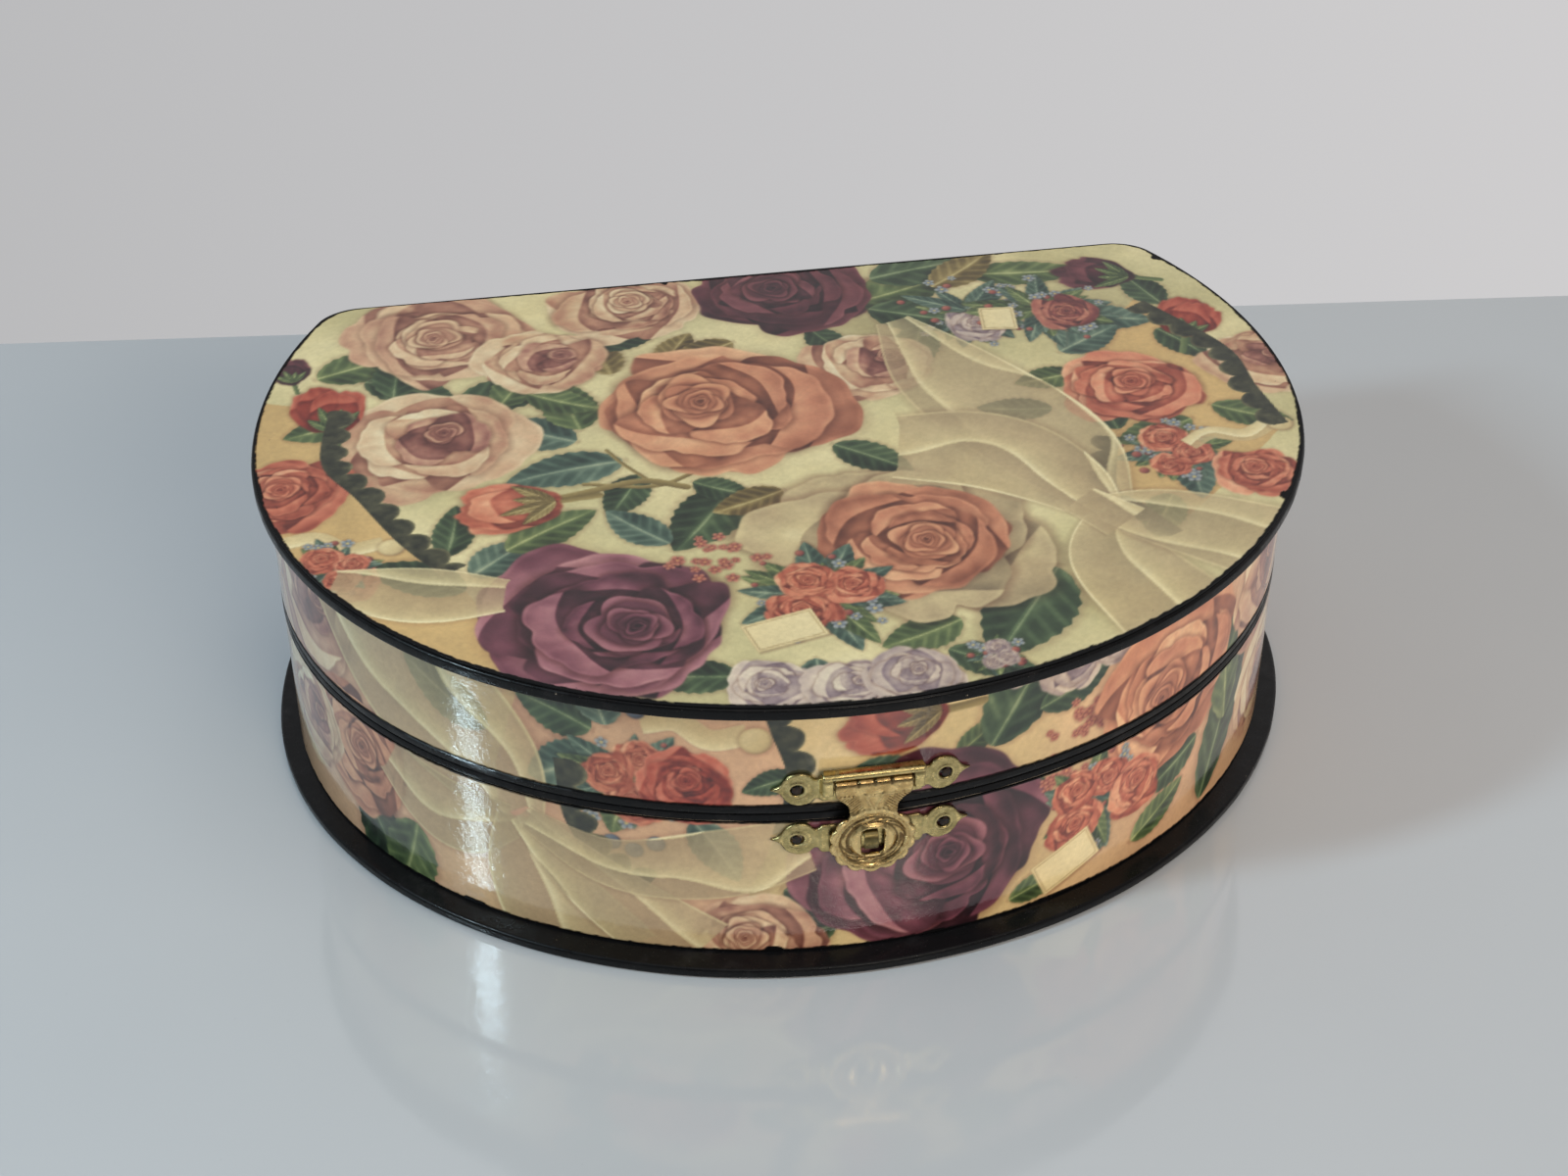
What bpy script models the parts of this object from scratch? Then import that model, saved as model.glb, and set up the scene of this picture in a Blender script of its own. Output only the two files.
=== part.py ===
"""A paper-covered hat box: a D-shaped base, a hinged lid of the same plan, and a brass hasp clasp.

The plan is an oval with a straight back. The frame's +Z is up, +Y points to the back, and the origin is
the middle of the box's footprint on the table. Every round-the-box piece is one closed profile swept
round the plan; every layer keeps FIT clear of the next.
"""

import math

import bmesh
import bpy
from mathutils import Matrix, Vector

# Plan of the wall's outer face, measured from the line where the box is widest.
HALF_WIDTH = 0.1474
FRONT_DEPTH = 0.1252
BACK_DEPTH = 0.0772
BACK_SWEEP = 0.1429  # semi-axis of the oval behind the widest line, which the flat back cuts off
CORNER_RADIUS = 0.011
FRONT_STEPS, SIDE_STEPS, CORNER_STEPS = 15, 7, 3  # points along one half of the plan

# Layers
FIT = 0.0003  # clearance between pieces that touch
RUNNING = 0.00008  # clearance of a pin in its hole
BASE_BOARD = 0.0032
LID_BOARD = 0.0037
WALL = 0.003
PAPER = 0.0004
BAND = 0.00045  # black binding strip
SKIN = FIT + PAPER  # from the wall's face to the face of its paper

# How far each panel stands past the wall: at the sides, at the front, at the back.
BASE_OVERHANG = (0.0065, 0.0081, 0.0037)
LID_OVERHANG = (0.0042, 0.0105, 0.0027)
EDGE_CHAMFER = 0.0006

# Heights
SEAM = 0.0530
LID_BOARD_UNDER = 0.0921
BAND_HEIGHT = 0.0025  # of each band, from the seam

# Hasp clasp: X is measured from its own middle, heights from the seam.
CLASP_X = 0.003
METAL = 0.0009
CLASP_HOLE_X = 0.0197
LOBE = 0.0053
TIP_X = 0.0265
HOUSING_HALF = 0.0142
HASP_PLATE_Z = SEAM + 0.0088
CATCH_PLATE_Z = SEAM - 0.0083
HASP_PIN_Z = HASP_PLATE_Z + 0.0020
HASP_PIN_OUT = 0.0024  # from the paper to the pin's axis
HASP_PIN_R = 0.00075
BARREL_R = 0.00175
BARREL_HALF = 0.0103
WINDOW_GAP = BARREL_R + FIT
EYE_DROP = 0.0199  # from the pin to the middle of the hasp's disc
DISC_R = 0.0112
SCALLOPS = 14
SCALLOP_DEPTH = 0.0004
EYE_HALF = (0.0031, 0.0047)
FLAP_LEAN = 0.0625  # the flap leans in by this share of its drop
TONGUE_HALF = 0.0019
TONGUE_SHIFT = -0.0006

# Butt hinges on the flat back
HINGE_X = 0.072
LEAF_HALF, LEAF_HEIGHT = 0.0125, 0.0120
LEAF_CORNER = 0.001
KNUCKLE_R = 0.0020
HINGE_PIN_R = 0.0008
HINGE_OUT = FIT + KNUCKLE_R  # from the paper to the hinge's axis
STOP_REACH = 0.0037
STOP_ANGLE = math.radians(105)
LEAF_BRAD_X, LEAF_BRAD_Z = 0.0085, 0.0078

# Brads
SHANK_R, SHANK_HOLE_R = 0.0006, 0.00095
SHANK_INTO_WALL = 0.0022
CLASP_HEAD_R, CLASP_SINK_R = 0.00135, 0.0017
CLASP_SEAT = FIT + METAL * 0.45  # where a sunk head sits, out from the paper
LEAF_HEAD_R = 0.0016
DRILL_PAST = 0.004  # how far a drill starts out of the paper

# The footprint runs from the panels' front edge to the hinge stops, and its middle is the origin.
FOOT_FRONT = FRONT_DEPTH + max(BASE_OVERHANG[1], LID_OVERHANG[1])
FOOT_BACK = BACK_DEPTH + SKIN + HINGE_OUT + STOP_REACH
WIDEST_Y = (FOOT_FRONT - FOOT_BACK) / 2
FRONT_Y = WIDEST_Y - FRONT_DEPTH - SKIN
BACK_Y = WIDEST_Y + BACK_DEPTH + SKIN

# Material: name, colour, roughness, metallic
BLACK = ("black_paint", (0.012, 0.012, 0.014), 0.25, 0.0)
GREY_BOARD = ("grey_board", (0.36, 0.31, 0.25), 0.85, 0.0)
PRINT_PAPER = ("print_paper", (0.62, 0.53, 0.33), 0.3, 0.0)
LINER_PAPER = ("liner_paper", (0.66, 0.50, 0.44), 0.7, 0.0)
BRASS = ("brass", (0.50, 0.38, 0.16), 0.35, 1.0)
DARK_STEEL = ("dark_steel", (0.05, 0.045, 0.045), 0.45, 1.0)
SMOOTH_ANGLE = math.radians(35)


# ---------------------------------------------------------------- plan


def ellipse(angle, depth):
    """Point and outward normal of the oval of that depth, at an angle from its widest point."""
    point = Vector((HALF_WIDTH * math.cos(angle), depth * math.sin(angle)))
    normal = Vector((math.cos(angle) / HALF_WIDTH, math.sin(angle) / depth)).normalized()
    return point, normal


def corner_angle():
    """Where the oval's side meets the arc that rounds it into the flat back."""
    low, high = 0.0, math.pi / 2
    for _ in range(60):
        middle = (low + high) / 2
        point, normal = ellipse(middle, BACK_SWEEP)
        if point.y - CORNER_RADIUS * normal.y < BACK_DEPTH - CORNER_RADIUS:
            low = middle
        else:
            high = middle
    return (low + high) / 2


def plan():
    """(point, outward normal) all round the wall's outer face, anticlockwise from the middle of the front."""
    half = []
    for i in range(FRONT_STEPS):
        half.append(ellipse(-math.pi / 2 * (1 - i / FRONT_STEPS), FRONT_DEPTH))
    end = corner_angle()
    for i in range(SIDE_STEPS + 1):
        half.append(ellipse(end * i / SIDE_STEPS, BACK_SWEEP))
    point, normal = half[-1]
    centre = point - CORNER_RADIUS * normal
    start = math.atan2(normal.y, normal.x)
    for i in range(1, CORNER_STEPS + 1):
        turn = start + (math.pi / 2 - start) * i / CORNER_STEPS
        normal = Vector((math.cos(turn), math.sin(turn)))
        half.append((centre + CORNER_RADIUS * normal, normal))
    other = [(Vector((-p.x, p.y)), Vector((-n.x, n.y))) for p, n in half[:0:-1]]
    return half + other


PLAN = plan()


def overhang_at(normal, overhang):
    """A panel's overhang where the wall faces that way, blended from the side's to the front's or back's."""
    side, front, back = overhang
    end = front if normal.y < 0 else back
    return side + (end - side) * normal.y**2


def loop(bm, offset, z, overhang=None):
    """Vertices round the plan at that height, offset outward from the wall's outer face."""
    made = []
    for point, normal in PLAN:
        out = offset + (overhang_at(normal, overhang) if overhang else 0.0)
        spot = point + out * normal
        made.append(bm.verts.new((spot.x, spot.y + WIDEST_Y, z)))
    return made


# ---------------------------------------------------------------- objects


def skirt(bm, lower, upper):
    """Faces between two closed loops of the same length."""
    for i in range(len(lower)):
        j = (i + 1) % len(lower)
        bm.faces.new((lower[i], lower[j], upper[j], upper[i]))


def prism(bm, first, last):
    """A closed solid between two outlines, each a list of points."""
    loops = [[bm.verts.new(spot) for spot in outline] for outline in (first, last)]
    skirt(bm, *loops)
    bm.faces.new(reversed(loops[0]))
    bm.faces.new(loops[1])


def material(spec):
    name, colour, roughness, metallic = spec
    made = bpy.data.materials.get(name) or bpy.data.materials.new(name)
    made.use_nodes = True
    shader = made.node_tree.nodes["Principled BSDF"]
    shader.inputs["Base Color"].default_value = (*colour, 1.0)
    shader.inputs["Roughness"].default_value = roughness
    shader.inputs["Metallic"].default_value = metallic
    return made


def finish(name, bm, spec=None):
    """Makes the object of that name from a bmesh, with its faces pointing out."""
    bm.normal_update()
    bmesh.ops.triangulate(bm, faces=[face for face in bm.faces if len(face.verts) > 4])
    bmesh.ops.recalc_face_normals(bm, faces=bm.faces)
    mesh = bpy.data.meshes.new(name)
    bm.to_mesh(mesh)
    bm.free()
    mesh.shade_smooth()
    mesh.set_sharp_from_angle(angle=SMOOTH_ANGLE)
    made = bpy.data.objects.new(name, mesh)
    bpy.context.scene.collection.objects.link(made)
    if spec:
        mesh.materials.append(material(spec))
    return made


def combine(target, tool, operation):
    """Joins a tool to the target (UNION), or cuts it out (DIFFERENCE). The tool is used up."""
    step = target.modifiers.new(operation.lower(), "BOOLEAN")
    step.operation = operation
    step.solver = "EXACT"
    step.object = tool
    graph = bpy.context.evaluated_depsgraph_get()
    mesh = bpy.data.meshes.new_from_object(target.evaluated_get(graph))
    target.modifiers.clear()
    target.data = mesh
    mesh.shade_smooth()
    mesh.set_sharp_from_angle(angle=SMOOTH_ANGLE)
    bpy.data.objects.remove(tool)


def swept(name, profile, spec):
    """A closed profile of (offset, z) points swept round the plan."""
    bm = bmesh.new()
    loops = [loop(bm, offset, z) for offset, z in profile]
    for here, there in zip(loops, loops[1:] + loops[:1]):
        skirt(bm, here, there)
    return finish(name, bm, spec)


def slab(name, levels, spec, overhang=None):
    """A flat panel that fills the plan: one loop for each (offset, z), from its underside to its top."""
    bm = bmesh.new()
    loops = [loop(bm, offset, z, overhang) for offset, z in levels]
    for lower, upper in zip(loops, loops[1:]):
        skirt(bm, lower, upper)
    bm.faces.new(reversed(loops[0]))
    bm.faces.new(loops[-1])
    return finish(name, bm, spec)


def boxed(low_offset, high_offset, low_z, high_z):
    """A rectangular profile."""
    return [(low_offset, low_z), (high_offset, low_z), (high_offset, high_z), (low_offset, high_z)]


def turned(bm, root, outward, profile, sides=8):
    """A closed turned solid on the line from root outward, through (radius, distance along) points."""
    across = outward.orthogonal().normalized()
    other = outward.cross(across)
    rings = []
    for radius, along in profile:
        centre = root + along * outward
        turns = [2 * math.pi * i / sides for i in range(sides)] if radius else []
        ring = [centre + radius * (across * math.cos(t) + other * math.sin(t)) for t in turns]
        rings.append([bm.verts.new(spot) for spot in ring or [centre]])
    for here, there in zip(rings, rings[1:]):
        for i in range(sides):
            j = (i + 1) % sides
            near = [here[i % len(here)], here[j % len(here)]]
            far = [there[j % len(there)], there[i % len(there)]]
            bm.faces.new(list(dict.fromkeys(near + far)))


def rod(name, start, end, radius, spec=None, sides=16):
    """A closed cylinder from start to end."""
    along = end - start
    profile = [(0.0, 0.0), (radius, 0.0), (radius, along.length), (0.0, along.length)]
    bm = bmesh.new()
    turned(bm, start, along.normalized(), profile, sides)
    return finish(name, bm, spec)


def block(name, low, high):
    """A box between two opposite corners."""
    bm = bmesh.new()
    size = [abs(high[k] - low[k]) for k in range(3)]
    place = Matrix.Translation((low + high) / 2) @ Matrix.Diagonal((*size, 1.0))
    bmesh.ops.create_cube(bm, size=1.0, matrix=place)
    return finish(name, bm)


# ---------------------------------------------------------------- places on the faces


def front_face(x):
    """Point on the front paper's face, x to the right of the clasp's middle, and the way it faces there."""
    point, normal = ellipse(-math.acos((CLASP_X + x) / HALF_WIDTH), FRONT_DEPTH)
    outward = Vector((normal.x, normal.y, 0.0))
    return Vector((point.x, point.y + WIDEST_Y, 0.0)) + SKIN * outward, outward


def on_front(x, out, z):
    """A point that far out of the front paper's face, following the wall's curve."""
    point, outward = front_face(x)
    return point + out * outward + Vector((0.0, 0.0, z))


def straight_front(x, out, z):
    """A point that far in front of the middle of the front paper, not following the curve."""
    return Vector((CLASP_X + x, FRONT_Y - out, z))


def on_back(x, out, z):
    """A point that far out of the flat back's paper."""
    return Vector((x, BACK_Y + out, z))


def plate(name, outline, low, high, place, spec=None):
    """A sheet of that outline in (x, z), from low to high out of the wall, put in place by a function."""
    bm = bmesh.new()
    prism(bm, [place(x, low, z) for x, z in outline], [place(x, high, z) for x, z in outline])
    return finish(name, bm, spec)


def extrusion(name, section, x0, x1, place):
    """A solid of that (out, z) section from x0 to x1."""
    bm = bmesh.new()
    prism(bm, [place(x0, out, z) for out, z in section], [place(x1, out, z) for out, z in section])
    return finish(name, bm)


def mirrored(half):
    """A closed outline from its right half, which runs from its bottom to its top."""
    return half + [(-x, z) for x, z in reversed(half) if x > 0]


# ---------------------------------------------------------------- brads


def clasp_brads(z):
    """(root, outward) of the two brads of a clasp plate."""
    spots = []
    for x in (-CLASP_HOLE_X, CLASP_HOLE_X):
        point, outward = front_face(x)
        spots.append((point + Vector((0.0, 0.0, z)), outward))
    return spots


def hinge_brads(side, hinge_x=None):
    """(root, outward) of the brads in the leaves above (+1) or below (-1) the seam: one hinge's, or both."""
    hinges = (-HINGE_X, HINGE_X) if hinge_x is None else (hinge_x,)
    backward = Vector((0.0, 1.0, 0.0))
    z = SEAM + side * LEAF_BRAD_Z
    across = [middle + x for middle in hinges for x in (-LEAF_BRAD_X, LEAF_BRAD_X)]
    return [(on_back(x, 0.0, z), backward) for x in across]


def drill(name, spots, low, high=DRILL_PAST):
    """A tool that drills a brad's hole at each spot, from low to high out of the paper's face."""
    bm = bmesh.new()
    for root, outward in spots:
        turned(bm, root, outward, [(0.0, low), (SHANK_HOLE_R, low), (SHANK_HOLE_R, high), (0.0, high)])
    return finish(name, bm)


def brads(names, spots, head_radius, head_low, head_height, spec):
    """One brad for each name, at the spot of the same rank, with its head that far out of the paper."""
    tip = -(SKIN + SHANK_INTO_WALL)
    head_high = head_low + head_height
    shoulder = head_low + head_height / 2
    shank = [(0.0, tip), (SHANK_R, tip + SHANK_R), (SHANK_R, head_low)]
    crown = head_radius * 0.6
    head = [(head_radius, head_low), (head_radius, shoulder), (crown, head_high), (0.0, head_high)]
    made = []
    for name, (root, outward) in zip(names, spots):
        bm = bmesh.new()
        turned(bm, root, outward, shank + head)
        made.append(finish(name, bm, spec))
    return made


# ---------------------------------------------------------------- the box


def walled(half, low, high, paper_low, paper_high, spots):
    """The wall of the base or the lid with its outer paper, both drilled for their brads, and its liner."""
    inner = -WALL - FIT
    wall = swept(f"{half}_wall", boxed(-WALL, 0.0, low, high), GREY_BOARD)
    paper = swept(f"{half}_wall_paper", boxed(FIT, SKIN, paper_low, paper_high), PRINT_PAPER)
    hole_end = -(SKIN + SHANK_INTO_WALL + FIT)
    for piece in (wall, paper):
        combine(piece, drill("drill", spots, hole_end), "DIFFERENCE")
    liner = swept(f"{half}_wall_liner", boxed(inner - PAPER, inner, low, high), LINER_PAPER)
    return [wall, paper, liner]


def rim_band(name, side):
    """A black strip that covers a rim and turns down (-1) or up (+1) over the outer face."""
    rim = SEAM + side * FIT / 2
    behind = rim + side * BAND
    edge = SEAM + side * BAND_HEIGHT
    inner = -WALL - FIT - PAPER
    outer = FIT + BAND
    profile = [(inner, rim), (outer, rim), (outer, edge), (FIT, edge), (FIT, behind), (inner, behind)]
    return swept(name, profile, BLACK)


def panel(name, low, high, overhang):
    """A black board with chamfered edges that stands past the wall all round."""
    edge = [(0.0, low + EDGE_CHAMFER), (0.0, high - EDGE_CHAMFER)]
    return slab(name, [(-EDGE_CHAMFER, low), *edge, (-EDGE_CHAMFER, high)], BLACK, overhang)


LINER_EDGE = -WALL - FIT - PAPER - FIT  # the floor and ceiling liners stop short of the wall's
RIM_BACK = FIT / 2 + BAND + FIT  # from the seam to where a wall starts behind its band


def base_box():
    """Bottom panel, wall, paper, rim band and liners of the base."""
    floor = BASE_BOARD + FIT
    spots = clasp_brads(CATCH_PLATE_Z) + hinge_brads(-1)
    panel("base_board", 0.0, BASE_BOARD, BASE_OVERHANG)
    walled("base", floor, SEAM - RIM_BACK, floor, SEAM - BAND_HEIGHT - FIT, spots)
    rim_band("base_rim_band", -1)
    slab("base_floor_liner", [(LINER_EDGE, floor), (LINER_EDGE, floor + PAPER)], LINER_PAPER)


def lid_box():
    """Top panel, wall, papers, rim band and liners of the lid."""
    ceiling = LID_BOARD_UNDER - FIT
    board_top = LID_BOARD_UNDER + LID_BOARD
    paper_levels = [(-EDGE_CHAMFER, board_top + FIT), (-EDGE_CHAMFER, board_top + FIT + PAPER)]
    spots = clasp_brads(HASP_PLATE_Z) + hinge_brads(1)
    pieces = walled("lid", SEAM + RIM_BACK, ceiling, SEAM + BAND_HEIGHT + FIT, ceiling, spots)
    pieces.append(panel("lid_board", LID_BOARD_UNDER, board_top, LID_OVERHANG))
    pieces.append(slab("lid_top_paper", paper_levels, PRINT_PAPER, LID_OVERHANG))
    pieces.append(rim_band("lid_rim_band", 1))
    pieces.append(slab("lid_top_liner", [(LINER_EDGE, ceiling - PAPER), (LINER_EDGE, ceiling)], LINER_PAPER))
    return pieces


# ---------------------------------------------------------------- clasp


def arc(centre_x, centre_z, radius, start, end, steps):
    """Points along an arc, from one angle to the other in degrees."""
    turns = [math.radians(start + (end - start) * i / steps) for i in range(steps + 1)]
    return [(centre_x + radius * math.cos(t), centre_z + radius * math.sin(t)) for t in turns]


def clasp_plate(name, z, low, high):
    """A plate that follows the wall: a plain middle, and at each end a round lobe that ends in a point."""
    edge = HOUSING_HALF - 0.001
    spread = [edge * i / 3 for i in range(4)]
    lobe = [*arc(CLASP_HOLE_X, z, LOBE, -150, -25, 6), (TIP_X, z), *arc(CLASP_HOLE_X, z, LOBE, 25, 150, 6)]
    half = [(x, z + low) for x in spread] + lobe + [(x, z + high) for x in reversed(spread)]
    return plate(name, mirrored(half), FIT, FIT + METAL, on_front, BRASS)


def countersinks(z):
    """A tool that cuts a plate's two holes: a wide mouth over a narrow hole."""
    low = -0.001
    profile = [(0.0, low), (SHANK_HOLE_R, low), (SHANK_HOLE_R, CLASP_SEAT)]
    profile += [(CLASP_SINK_R, CLASP_SEAT), (CLASP_SINK_R, DRILL_PAST), (0.0, DRILL_PAST)]
    bm = bmesh.new()
    for root, outward in clasp_brads(z):
        turned(bm, root, outward, profile, 12)
    return finish("countersinks", bm)


def pin_line(half):
    """The two ends of a line along the hasp's pin."""
    return [straight_front(x, HASP_PIN_OUT, HASP_PIN_Z) for x in (-half, half)]


def housing():
    """The pressed-up middle of the upper plate: a low bar with a raised brow along its top."""
    low, high = HASP_PIN_Z - 0.0034, HASP_PIN_Z + 0.0050
    root = FIT + 0.0001
    section = [
        (root, low),
        (0.0028, low + 0.0003),
        (0.0037, low + 0.0012),
        (0.0037, HASP_PIN_Z + 0.0020),
        (0.0041, HASP_PIN_Z + 0.0027),
        (0.0041, high - 0.0012),
        (0.0030, high),
        (root, high),
    ]
    return extrusion("housing", section, -HOUSING_HALF, HOUSING_HALF, straight_front)


def hasp_plate():
    """The clasp's upper plate: lobed ends, and a pressed-up middle that holds the hasp's pin."""
    made = clasp_plate("hasp_plate", HASP_PLATE_Z, -0.0043, 0.0066)
    combine(made, housing(), "UNION")
    side = BARREL_HALF + FIT
    low = HASP_PIN_Z - WINDOW_GAP - 0.0004
    proud = 0.006
    window = straight_front(-side, -0.001, low), straight_front(side, proud, HASP_PIN_Z + WINDOW_GAP)
    combine(made, block("window", *window), "DIFFERENCE")
    relief = straight_front(-side, FIT + METAL, HASP_PIN_Z - 0.006), straight_front(side, proud, low + 0.0002)
    combine(made, block("relief", *relief), "DIFFERENCE")
    bore = rod("bore", *pin_line(HOUSING_HALF - 0.0008), HASP_PIN_R + RUNNING, sides=24)
    combine(made, bore, "DIFFERENCE")
    combine(made, countersinks(HASP_PLATE_Z), "DIFFERENCE")
    pin = rod("hasp_pin", *pin_line(HOUSING_HALF - 0.0012), HASP_PIN_R, BRASS)
    return [made, pin]


def hasp_half():
    """Right half of the hasp's outline, from the bottom up: a scalloped disc, a waist, the barrel's width."""
    eye_z = HASP_PIN_Z - EYE_DROP
    half = [(0.0, eye_z - DISC_R - SCALLOP_DEPTH)]
    steps = 40
    for i in range(1, steps + 1):
        turn = math.radians(-90 + 145 * i / steps)
        radius = DISC_R + SCALLOP_DEPTH * math.cos(SCALLOPS * (turn + math.pi / 2))
        half.append((radius * math.cos(turn), eye_z + radius * math.sin(turn)))
    waist = [(0.0064, 0.0088), (0.0070, 0.0070), (0.0092, 0.0046)]
    shoulder = [(BARREL_HALF, 0.0028), (BARREL_HALF, 0.0)]
    return half + [(x, HASP_PIN_Z - drop) for x, drop in waist + shoulder]


def on_flap(x, out, z):
    """A point on the hasp's flap, which leans in towards the box below its barrel."""
    return straight_front(x, out - FLAP_LEAN * (HASP_PIN_Z - z), z)


def hasp():
    """The swinging hasp: a scalloped flap with an eye, rolled round the pin at its top."""
    face = HASP_PIN_OUT + BARREL_R - 0.0001
    made = plate("hasp", mirrored(hasp_half()), face - METAL, face, on_flap, BRASS)
    combine(made, rod("barrel", *pin_line(BARREL_HALF), BARREL_R, sides=20), "UNION")
    combine(made, rod("bore", *pin_line(BARREL_HALF + 0.002), HASP_PIN_R + RUNNING, sides=24), "DIFFERENCE")
    wide, tall = EYE_HALF
    eye_z = HASP_PIN_Z - EYE_DROP
    cut = 0.75  # of each side, left straight
    half = [(cut, -1.0), (1.0, -cut), (1.0, cut), (cut, 1.0)]
    eye = [(wide * x, eye_z + tall * z) for x, z in mirrored(half)]
    combine(made, plate("eye", eye, 0.0, 0.008, straight_front), "DIFFERENCE")
    return made


def tongue():
    """The catch's hook: a strip that leaves the plate, passes the hasp's eye and turns down."""
    top = [(0.0008, 0.0026), (0.0022, 0.0026), (0.0036, 0.0021)]
    nose = [(0.0044, 0.0009), (0.0045, -0.0008), (0.0040, -0.0022)]
    spots = [Vector((out, CATCH_PLATE_Z + z)) for out, z in top + nose]
    upper, lower = [], []
    for i, spot in enumerate(spots):
        along = (spots[min(i + 1, len(spots) - 1)] - spots[max(i - 1, 0)]).normalized()
        across = Vector((-along.y, along.x)) * METAL / 2
        upper.append(spot + across)
        lower.append(spot - across)
    section = upper + lower[::-1]
    sides = TONGUE_SHIFT - TONGUE_HALF, TONGUE_SHIFT + TONGUE_HALF
    return extrusion("tongue", section, *sides, straight_front)


def catch_plate():
    """The clasp's lower plate, with the hook that the hasp's eye drops over."""
    made = clasp_plate("catch_plate", CATCH_PLATE_Z, -0.0050, 0.0042)
    combine(made, tongue(), "UNION")
    combine(made, countersinks(CATCH_PLATE_Z), "DIFFERENCE")


def sunk_brads(plate_name, z):
    names = [f"{plate_name}_brad_{side}" for side in ("left", "right")]
    return brads(names, clasp_brads(z), CLASP_HEAD_R, CLASP_SEAT + FIT, 0.0005, DARK_STEEL)


# ---------------------------------------------------------------- hinges


def hinge_line(hinge_x, x0, x1):
    """The two ends of a stretch of a hinge's axis."""
    return [on_back(hinge_x + x, HINGE_OUT, SEAM) for x in (x0, x1)]


def gaps_between(knuckles):
    """The stretches of a leaf's width that the other leaf's knuckles fill."""
    edges = [-LEAF_HALF] + [x for pair in knuckles for x in pair] + [LEAF_HALF]
    return [(a, b) for a, b in zip(edges[::2], edges[1::2]) if b - a > FIT]


def stop_fin(hinge_x, stretch):
    """A fin on the lid leaf's knuckle. It turns down against the base leaf when the lid is fully open."""
    gap = 0.0004
    standoff = KNUCKLE_R - METAL - gap - METAL / 2  # of the fin's middle, at its end, when it has turned down
    turned_down = math.pi + math.asin(standoff / STOP_REACH)
    rest = turned_down - STOP_ANGLE
    along = Vector((math.sin(rest), math.cos(rest)))
    across = Vector((math.cos(rest), -math.sin(rest))) * METAL / 2
    axis = Vector((HINGE_OUT, SEAM))
    inner, outer = axis + 0.6 * KNUCKLE_R * along, axis + STOP_REACH * along
    section = [inner - across, outer - across, outer + across, inner + across]
    inset = 0.001
    return extrusion("stop", section, hinge_x + stretch[0] + inset, hinge_x + stretch[1] - inset, on_back)


def leaf(name, hinge_x, side, knuckles):
    """One leaf of a butt hinge: a plate above (+1) or below (-1) the seam, and its knuckles round the pin."""
    corner = LEAF_HALF - LEAF_CORNER
    high = LEAF_HEIGHT - LEAF_CORNER
    half = [(LEAF_HALF, 0.0006), (LEAF_HALF, high), (corner, LEAF_HEIGHT)]
    outline = [(hinge_x + x, SEAM + side * z) for x, z in mirrored(half)]
    made = plate(name, outline, FIT, FIT + METAL, on_back, BRASS)
    for x0, x1 in knuckles:
        combine(made, rod("knuckle", *hinge_line(hinge_x, x0, x1), KNUCKLE_R), "UNION")
    clear = KNUCKLE_R + FIT
    for x0, x1 in gaps_between(knuckles):
        low = on_back(hinge_x + x0 - FIT, -0.001, SEAM - clear)
        high = on_back(hinge_x + x1 + FIT, 0.008, SEAM + clear)
        combine(made, block("relief", low, high), "DIFFERENCE")
    return made


def finish_leaf(made, hinge_x, side):
    """Bores a leaf's knuckles and drills its brad holes."""
    past = LEAF_HALF + 0.002
    bore = rod("bore", *hinge_line(hinge_x, -past, past), HINGE_PIN_R + RUNNING, sides=24)
    combine(made, bore, "DIFFERENCE")
    combine(made, drill("drill", hinge_brads(side, hinge_x), -0.001), "DIFFERENCE")


def hinge(side_name, hinge_x):
    """A butt hinge: the base leaf has the outer knuckles, the lid leaf the middle one and the stop."""
    third = LEAF_HALF / 3
    outer = [(-LEAF_HALF, -third - FIT / 2), (third + FIT / 2, LEAF_HALF)]
    middle = [(-third + FIT / 2, third - FIT / 2)]
    base_leaf = leaf(f"hinge_{side_name}_base_leaf", hinge_x, -1, outer)
    finish_leaf(base_leaf, hinge_x, -1)
    lid_leaf = leaf(f"hinge_{side_name}_lid_leaf", hinge_x, 1, middle)
    combine(lid_leaf, stop_fin(hinge_x, middle[0]), "UNION")
    finish_leaf(lid_leaf, hinge_x, 1)
    rod(f"hinge_{side_name}_pin", *hinge_line(hinge_x, -LEAF_HALF, LEAF_HALF), HINGE_PIN_R, DARK_STEEL)
    return lid_leaf


def leaf_brads(half, side):
    names = [f"{half}_hinge_brad_{i}" for i in (1, 2, 3, 4)]
    return brads(names, hinge_brads(side), LEAF_HEAD_R, FIT + METAL + FIT, 0.0007, BRASS)


# ---------------------------------------------------------------- assembly


def axis_empty(name, place, pieces):
    """An empty on a joint's axis, with the pieces that turn about it as its children."""
    made = bpy.data.objects.new(name, None)
    made.empty_display_size = 0.02
    made.location = place
    bpy.context.scene.collection.objects.link(made)
    for piece in pieces:
        piece.parent = made
        piece.matrix_parent_inverse = Matrix.Translation(-place)
    return made


def clear_scene():
    for thing in list(bpy.data.objects):
        bpy.data.objects.remove(thing)


def hat_box():
    base_box()
    catch_plate()
    sunk_brads("catch_plate", CATCH_PLATE_Z)
    leaf_brads("base", -1)
    lid = lid_box() + hasp_plate() + sunk_brads("hasp_plate", HASP_PLATE_Z) + leaf_brads("lid", 1)
    lid += [hinge("left", -HINGE_X), hinge("right", HINGE_X)]
    hasp_axis = axis_empty("hasp_axis", straight_front(0.0, HASP_PIN_OUT, HASP_PIN_Z), [hasp()])
    axis_empty("lid_axis", on_back(0.0, HINGE_OUT, SEAM), lid + [hasp_axis])


clear_scene()
hat_box()
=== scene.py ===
import math

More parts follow.
